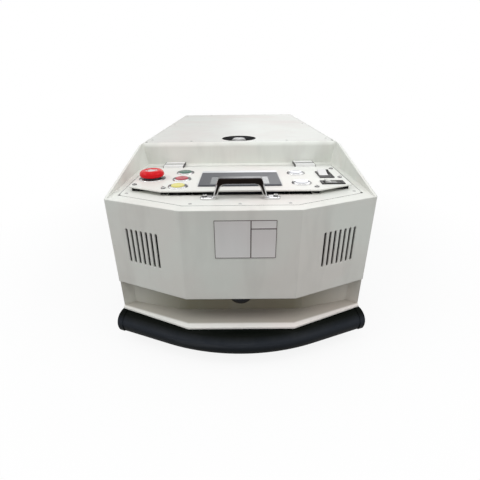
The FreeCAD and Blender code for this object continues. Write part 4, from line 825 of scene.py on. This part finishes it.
stop_axis = spot(STOP_X, STOP_Y, 0)
RED = plastic((0.68, 0.006, 0.012), Gloss=0.26, Relief=0.05, Dust=0.06)
DISH = plastic((0.62, 0.60, 0.60), Gloss=0.35, Relief=0.05, Dust=0.1)
DARK_REFLECTION_AND_SHADE = metal((0.035, 0.035, 0.04), Gloss=0.2, Blotches=0.2)
SATIN = metal((0.72, 0.72, 0.72), Gloss=0.16, Blotches=0.15, Relief=0.03)
JUST_UNDER = 0.1
below_panel = slab("Z", -1, (PANEL - JUST_UNDER) * MM)
in_dish = both(tube(stop_axis, UPRIGHT_AXIS, -1, DISH_RADIUS * MM),
               slab("Z", (PANEL + DISH_FLOOR) * MM, 1))
stop_red = finish("stop_red", RED, (in_dish, DISH), (both(in_dish, twist_arrows), RED),
                  Specular_IOR_Level=0.12, Coat_Weight=0.06, Coat_Roughness=0.1)
# painted dark reflection on the ring's ends and painted shade on its collar under the head
stop_ring = finish("stop_ring", SATIN, (ring_ends([stop_axis], STOP_REACH), DARK_REFLECTION_AND_SHADE),
                   (tube(stop_axis, UPRIGHT_AXIS, -1, STOP_COLLAR * MM), DARK_REFLECTION_AND_SHADE),
                   (below_panel, BLACK))
stop_stem = finish("stop_stem", plastic((0.10, 0.10, 0.105), Gloss=0.4), **MATT)
dress(stop_red, "estop_head")
dress(stop_ring, "estop_base")
dress(stop_stem, "estop_stem")


# ---- Push buttons -------------------------------------------------------------------------
# Five sprung caps of tinted acrylic in satin metal bezels, whose left and right ends carry a
# painted dark reflection. A black nut clamps each bezel from behind the panel, over its contact
# block.

BUTTONS = {"yellow_button": (-96, 86.5, (0.72, 0.66, 0.17)),
           "red_button": (-96, 128.5, (0.44, 0.026, 0.052)),
           "green_button": (-96, 171, (0.035, 0.13, 0.09)),
           "clear_button_front": (97.5, 100.5, (0.66, 0.665, 0.70)),
           "clear_button_rear": (98, 161, (0.66, 0.665, 0.70))}
BEZEL_REACH = 16.5
button_axes = [spot(x, y, 0) for x, y, tint in BUTTONS.values()]
# the bezels' ends carry a painted dark reflection
bezel_metal = finish("bezel_metal", SATIN, (ring_ends(button_axes, BEZEL_REACH), DARK_REFLECTION_AND_SHADE),
                     (below_panel, BLACK))
dress(bezel_metal, "button_bezels")
for name, (x, y, tint) in BUTTONS.items():
    dress(finish(name + "_acrylic", plastic(tint, Gloss=0.22, Relief=0.12, Dust=0.05),
                 Specular_IOR_Level=0.2, Coat_Weight=0.15, Coat_Roughness=0.1), name)


# ---- Rocker switches ----------------------------------------------------------------------
# Two rockers in black snap-in frames: the power rocker black at its front and side, with a painted
# white reflection on its rear half, and the mode rocker in three fields, silver, grey and black,
# painted as light and shade on its tilted faces.

POWER_FRONT, POWER_SIDE = 142, 150
MODE_GREY, MODE_BLACK = 143.5, 152.4
POWER_REAR_REFLECTION = plastic((0.80, 0.80, 0.79), Gloss=0.3, Relief=0.05, Dust=0.05)
MODE_LIT_FACE = plastic((0.60, 0.60, 0.58), Gloss=0.3, Relief=0.05, Dust=0.05)
MODE_HALF_SHADE = plastic((0.22, 0.22, 0.215), Gloss=0.35, Relief=0.05)
# the power rocker's white rear half is a painted reflection
power_dark = either(slab("Y", -1, depth(POWER_FRONT)), slab("X", POWER_SIDE * MM, 1))
power_plastic = finish("power_plastic", POWER_REAR_REFLECTION, (power_dark, BLACK), **MATT)
# the mode rocker's silver, grey and black fields are painted light and shade
mode_plastic = finish("mode_plastic", MODE_LIT_FACE, (slab("X", MODE_GREY * MM, 1), MODE_HALF_SHADE),
                      (slab("X", MODE_BLACK * MM, 1), BLACK), **MATT)
dress(power_plastic, "power_rocker")
dress(mode_plastic, "mode_rocker")
dress(black_plastic, "rocker_frames", "panel_standoffs")


# ---- Operator display ---------------------------------------------------------------------
# A slate moulded frame with bright trim along its far edge and down its sides, a painted shade
# line along its rear edge, and a dark touch screen of coated glass that is switched off.

STRIP_FRONT, DISPLAY_REAR = 160.5, 174
SIDE_TRIM, REAR_SHADE_WIDTH = 1.6 * MM, 1.1 * MM
JUST_OVER = 0.3
SLATE = plastic((0.075, 0.078, 0.090), Gloss=0.38, Relief=0.15, Dust=0.1)
TRIM = metal((0.68, 0.69, 0.70), metallic=0.6, Gloss=0.3, Blotches=0.1)
DISPLAY_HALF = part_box("display_housing")[1].x
strip = slab("Y", depth(STRIP_FRONT), 1)
# painted shade along the frame's rear edge
rear_shade = slab("Y", depth(DISPLAY_REAR) - REAR_SHADE_WIDTH, 1)
right_edge = slab("X", DISPLAY_HALF - SIDE_TRIM, 1)
left_edge = slab("X", -1, SIDE_TRIM - DISPLAY_HALF)
above_panel = slab("Z", (PANEL + JUST_OVER) * MM, 1)
display_plastic = finish("display_plastic", SLATE,
                         (both(either(strip, either(left_edge, right_edge)), above_panel), TRIM),
                         (rear_shade, BLACK), **MATT)
screen_glass = finish("screen_glass", plastic((0.20, 0.21, 0.215), Gloss=0.16, Relief=0.0,
                                              Dust=0.08), Specular_IOR_Level=0.15,
                      Coat_Weight=0.05, Coat_Roughness=0.04)
dress(display_plastic, "display_housing")
dress(screen_glass, "display_screen")


# ---- Lid handle ---------------------------------------------------------------------------
# A bow handle, chrome plated on its rims and feet. Painted dark reflections lie on its flats
# front and back, nearly black, and on its top, and a grey one on the tops of its feet. Two screws
# hold its feet on the lid.

def bow_faces(axis, low, rim):
    """Mask of the bow's faces across an axis, above a height over the deck, out to where they
    turn away by the rim's share."""
    def mask(tree, coordinates):
        facing = shader(tree, "SeparateXYZ", Vector=coordinates.outputs["Normal"]).outputs[axis]
        flat = ramp(tree, maths(tree, "ABSOLUTE", facing), rim - 0.1, rim + 0.1)
        height = coordinate(tree, coordinates, "Z")
        return maths(tree, "MULTIPLY", flat, ramp(tree, height, (DECK + low) * MM,
                                                  (DECK + low + 4) * MM))
    return mask


FOOT_BELOW, FOOT_ABOVE = 0.8, 0.5
foot_tops = slab("Z", (HANDLE_FOOT - FOOT_BELOW) * MM, (HANDLE_FOOT + FOOT_ABOVE) * MM)
FOOT_REFLECTION = metal((0.36, 0.36, 0.37), Gloss=0.12, Blotches=0.4)
BOW_REFLECTION = metal((0.012, 0.009, 0.008), Gloss=0.14, Blotches=0.5)
TOP_REFLECTION = metal((0.06, 0.06, 0.066), Gloss=0.22, Blotches=0.5)
# painted reflections on the chrome: grey on the feet, dim on the top, nearly black on the flats
handle_chrome = finish("handle_chrome", CHROME, (foot_tops, FOOT_REFLECTION),
                       (bow_faces("Z", low=22, rim=0.55), TOP_REFLECTION),
                       (bow_faces("Y", low=5, rim=0.88), BOW_REFLECTION),
                       (bow_faces("Y", low=20, rim=0.5), BOW_REFLECTION), **MATT)
dress(handle_chrome, "lid_handle")


# ---- Bumper -------------------------------------------------------------------------------
# A bellied black rubber section on a painted steel rail, closed by moulded end caps. A bluish
# highlight is painted along its belly, which is also dustier and more scuffed.

HIGHLIGHT_LOW, HIGHLIGHT_HIGH = (30, 42), (46, 54)
BUMPER = {"Specular_IOR_Level": 0.03, "Sheen_Weight": 0.006, "Sheen_Roughness": 0.5,
          "Sheen_Tint": (0.6, 0.75, 1.0, 1)}


def belly(tree, coordinates):
    """Mask of the belly, where a highlight is painted, fading above and below."""
    height = coordinate(tree, coordinates, "Z")
    return maths(tree, "MULTIPLY", ramp(tree, height, HIGHLIGHT_LOW[0] * MM, HIGHLIGHT_LOW[1] * MM),
                 ramp(tree, height, HIGHLIGHT_HIGH[0] * MM, HIGHLIGHT_HIGH[1] * MM, 1.0, 0.0))


# a painted bluish highlight along the belly, with more dust and scuffs
BELLY_HIGHLIGHT = plastic((0.026, 0.030, 0.037), Gloss=0.42, Grain_Size=0.0009, Relief=0.25, Dust=0.2,
                Scuffs=0.5)
bumper_black = finish("bumper_black", plastic((0.002, 0.003, 0.002), Gloss=0.42, Grain_Size=0.0009,
                                              Relief=0.25, Dust=0.0, Scuffs=0.1,
                                              Edge_Radius=0.002), (belly, BELLY_HIGHLIGHT), **BUMPER)
dress(bumper_black, "bumper_rubber", "bumper_end_caps")


# ---- Scanner and magnetic sensor ----------------------------------------------------------
# The safety scanner's body and its tinted window hang in the front slot. The line sensor is a
# potted black bar under the front plate.

window_plastic = finish("window_plastic", plastic((0.006, 0.005, 0.008), Gloss=0.1, Relief=0.0,
                                                  Dust=0.1), Specular_IOR_Level=0.15,
                        Coat_Weight=0.1, Coat_Roughness=0.05)
dress(window_plastic, "scanner_window")
dress(black_plastic, "scanner_housing", "magnetic_sensor")


# ---- Lift ---------------------------------------------------------------------------------
# A dulled steel pin in a bronze bush, its guide tube with the dark cup under the roof, a
# ground lead screw and a cast gear motor.

PIN = metal((0.32, 0.32, 0.32), Gloss=0.32, Blotches=0.4, Relief=0.1)
WELL = metal((0.16, 0.16, 0.165), Gloss=0.3, Blotches=0.4, Relief=0.1)
BRONZE = metal((0.66, 0.42, 0.19), Gloss=0.3, Blotches=0.4, Relief=0.1)
dress(finish("pin_steel", PIN), "lift_pin")
dress(finish("well_steel", WELL), "lift_guide_tube")
dress(finish("bronze", BRONZE), "lift_bush")
dress(finish("cast_housing", CAST), "lift_motor")
dress(steel, "lift_screw")


# ---- Drive unit ---------------------------------------------------------------------------
# Slewing rings and guide posts of ground steel, painted carriage and cradle, urethane
# buffers, and two gear motors whose wheels have cast hubs in poured polyurethane tyres.

DRIVE_DEPTH = 525
WHEEL = spot(0, DRIVE_DEPTH, 75)
AXLE = (0, 1, 1)
TYRE_BORE = 64 * MM
MOTOR_END = 58 * MM
BUFFER_LOW, BUFFER_HIGH = 122, 172
POST_X, POST_Y = 62, 53
PAINTED = plastic((0.045, 0.048, 0.05), Gloss=0.4, Relief=0.15, Dust=0.4, Scuffs=0.5,
                  Edge_Radius=0.001)
TYRE = plastic((0.30, 0.10, 0.045), Gloss=0.45, Relief=0.2, Dust=0.5, Scuffs=0.8)
frame_paint = finish("frame_paint", PAINTED, **MATT)
carriage_paint = finish("carriage_paint", PAINTED, (slab("Z", 0, BUFFER_HIGH * MM), STEEL))
wheel_finish = finish("drive_wheel", CAST, (tube(WHEEL, AXLE, TYRE_BORE, 1), TYRE))
motor_finish = finish("gear_motor", CAST, (slab("X", -MOTOR_END, MOTOR_END), BLACK))
urethane = finish("urethane", plastic((0.5, 0.3, 0.06), Gloss=0.35, Relief=0.1))
dress(steel, "slew_ring_outer", "slew_ring_inner")
dress(carriage_paint, "drive_carriage")
dress(frame_paint, "drive_cradle", "cross_bridges", "frame_tubes", "bumper_carrier")
dress(wheel_finish, "drive_wheel_left", "drive_wheel_right")
dress(motor_finish, "gear_motors")


def ringed_sleeve(bore, waist, belly_radius, low, high, bellies):
    """A moulded sleeve on the origin's axis whose outside swells into soft bellies."""
    steps = 8 * bellies
    profile = [(waist + (belly_radius - waist) * math.sin(math.pi * step * bellies / steps) ** 2,
                low + (high - low) * step / steps) for step in range(steps + 1)]
    profile += [(bore, high), (bore, low), (waist, low)]
    primitive("circle", vertices=32, radius=waist * MM)
    bpy.ops.object.mode_set(mode="EDIT")
    bpy.ops.mesh.select_all(action="SELECT")
    bpy.ops.transform.translate(value=(0, 0, low * MM))
    last_radius, last_height = profile[0]
    for radius, height in profile[1:]:
        bpy.ops.mesh.extrude_edges_move(
            TRANSFORM_OT_translate={"value": (0, 0, (height - last_height) * MM)})
        scale = radius / last_radius
        bpy.ops.transform.resize(value=(scale, scale, 1), center_override=(0, 0, 0))
        last_radius, last_height = radius, height
    bpy.ops.mesh.select_all(action="SELECT")
    bpy.ops.mesh.remove_doubles(threshold=0.01 * MM)
    bpy.ops.mesh.normals_make_consistent(inside=False)
    bpy.ops.object.mode_set(mode="OBJECT")
    return bpy.context.object


# the buffers sit between the carriage and the cradle that rises against them
sleeve = ringed_sleeve(bore=7.5, waist=13, belly_radius=14.5, low=BUFFER_LOW, high=BUFFER_HIGH,
                       bellies=4)
posts = [spot(x, DRIVE_DEPTH + y, 0) for x in (-POST_X, POST_X) for y in (-POST_Y, POST_Y)]
buffers = gather(spread(sleeve, posts))
bpy.data.objects.remove(sleeve)
settle(buffers, "urethane_buffers", "drive_swivel", "urethane", urethane)
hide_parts("spring_buffers")
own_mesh(buffers)


def bolt_head(across, height, washer):
    """A hexagon bolt head on its washer, standing on the origin."""
    thick = 0.12 * across
    disc = primitive("cylinder", vertices=ROUND_SIDES, radius=washer * MM, depth=thick * MM,
                     location=(0, 0, thick / 2 * MM))
    head = primitive("cylinder", vertices=6, radius=across * MM, depth=height * MM,
                     location=(0, 0, (thick + height / 2) * MM))
    bpy.ops.object.mode_set(mode="EDIT")
    pick(head, lambda face: face.normal.z > FACING)
    bpy.ops.mesh.inset(thickness=thick * MM, depth=0.08 * across * MM)
    bpy.ops.object.mode_set(mode="OBJECT")
    return gather([disc, head])


bolt = bolt_head(across=4.4, height=3.4, washer=5.2)
HUB_FACE, BOLT_CIRCLE, BOLT_COUNT = 126 * MM, 37 * MM, 6
turns = [step * math.tau / BOLT_COUNT for step in range(BOLT_COUNT)]
for side, hand in ((-1, "left"), (1, "right")):
    circle = [WHEEL + Vector((side * HUB_FACE, BOLT_CIRCLE * math.cos(turn),
                              BOLT_CIRCLE * math.sin(turn))) for turn in turns]
    hub_bolts = gather(spread(bolt, circle, (side, 0, 0)))
    settle(hub_bolts, f"hub_bolts_{hand}", f"drive_wheel_{hand}", "zinc", zinc)


# ---- Castors ------------------------------------------------------------------------------
# Low castors of zinc-plated pressings on ball races, with black rubber treads on grey moulded
# hubs, bolted under the floor plates.

HUB_RADII = {"front_castor_wheel": 16.5, "rear_castor_wheel": 19.5}
CASTOR_X = 120
PLATE_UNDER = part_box("front_castor_plates")[0].z + 3 * MM
HUB = plastic((0.22, 0.23, 0.24), Gloss=0.4, Dust=0.3)
TREAD = plastic((0.05, 0.05, 0.055), Gloss=0.45, Relief=0.15, Dust=0.5, Scuffs=0.8)
dress(zinc, "front_castor_plates", "front_castor_fork_left", "front_castor_fork_right",
      "rear_castor_brackets")
for wheels, hub_radius in HUB_RADII.items():
    low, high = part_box(wheels + "_left")
    roller = finish(wheels, HUB, (tube((low + high) / 2, AXLE, hub_radius * MM, 1), TREAD))
    dress(roller, wheels + "_left", wheels + "_right")


def plate_bolts(middle, half_width, half_length):
    """Places of the four bolts under each castor plate of a pair, in millimetres."""
    return [Vector((side * (CASTOR_X + half_width * across) * MM,
                    depth(middle + half_length * along), PLATE_UNDER))
            for side in (-1, 1) for across in (-1, 1) for along in (-1, 1)]


castor_bolts = plate_bolts(middle=170, half_width=23, half_length=31)
roller_bolts = plate_bolts(middle=800, half_width=25, half_length=34)
floor_bolts = gather(spread(bolt, castor_bolts + roller_bolts, (0, 0, -1)))
settle(floor_bolts, "castor_bolts", "chassis", "zinc", zinc)


# ---- Power and control --------------------------------------------------------------------
# Battery cases of dark blue plastic with black lids and lead terminals, a die-cast controller
# with its connector rail, black finned motor drives and the copper charging contacts.

FLOOR_PLATE = 61
CASE_HEIGHT, LID_HEIGHT, CONTROLLER_HEIGHT = 118, 126, 60
DRIVES_FROM = 5
COPPER_DEPTH, HOLDER_SUNK, HOLDER_SCREW = 0.7, 0.8, 69
LEAD = metal((0.45, 0.45, 0.46), Gloss=0.4, Blotches=0.5)
COPPER = metal((0.78, 0.43, 0.27), Gloss=0.24, Blotches=0.4, Grain=(0.1, 1.0, 1.0), Relief=0.15)
GREEN = plastic((0.02, 0.20, 0.07), Gloss=0.4)
battery_case = finish("battery_case", plastic((0.03, 0.05, 0.10), Gloss=0.4, Relief=0.15,
                                              Dust=0.3),
                      (slab("Z", (FLOOR_PLATE + CASE_HEIGHT) * MM, 1), BLACK),
                      (slab("Z", (FLOOR_PLATE + LID_HEIGHT) * MM, 1), LEAD))
low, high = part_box("charge_contacts")
contact_rail = finish("contact_rail", BLACK, (slab("Y", high.y - COPPER_DEPTH * MM, 1), COPPER))
connectors = both(slab("X", -1, 0), slab("Z", (FLOOR_PLATE + CONTROLLER_HEIGHT) * MM, 1))
electronics = finish("electronics", ALUMINIUM, (slab("X", DRIVES_FROM * MM, 1), BLACK),
                     (connectors, GREEN))
dress(battery_case, "battery_packs")
dress(contact_rail, "charge_contacts")
dress(electronics, "control_electronics")
holder_places = [Vector((side * HOLDER_SCREW * MM, high.y - HOLDER_SUNK * MM,
                         (low.z + high.z) / 2)) for side in (-1, 1)]
holder_screws = gather(spread(flat_head, holder_places, (0, 1, 0)))
settle(holder_screws, "contact_holder_screws", "chassis", "zinc", zinc)

# the models that the copies were made from
for model in (button_head, flat_head, bolt):
    bpy.data.objects.remove(model)
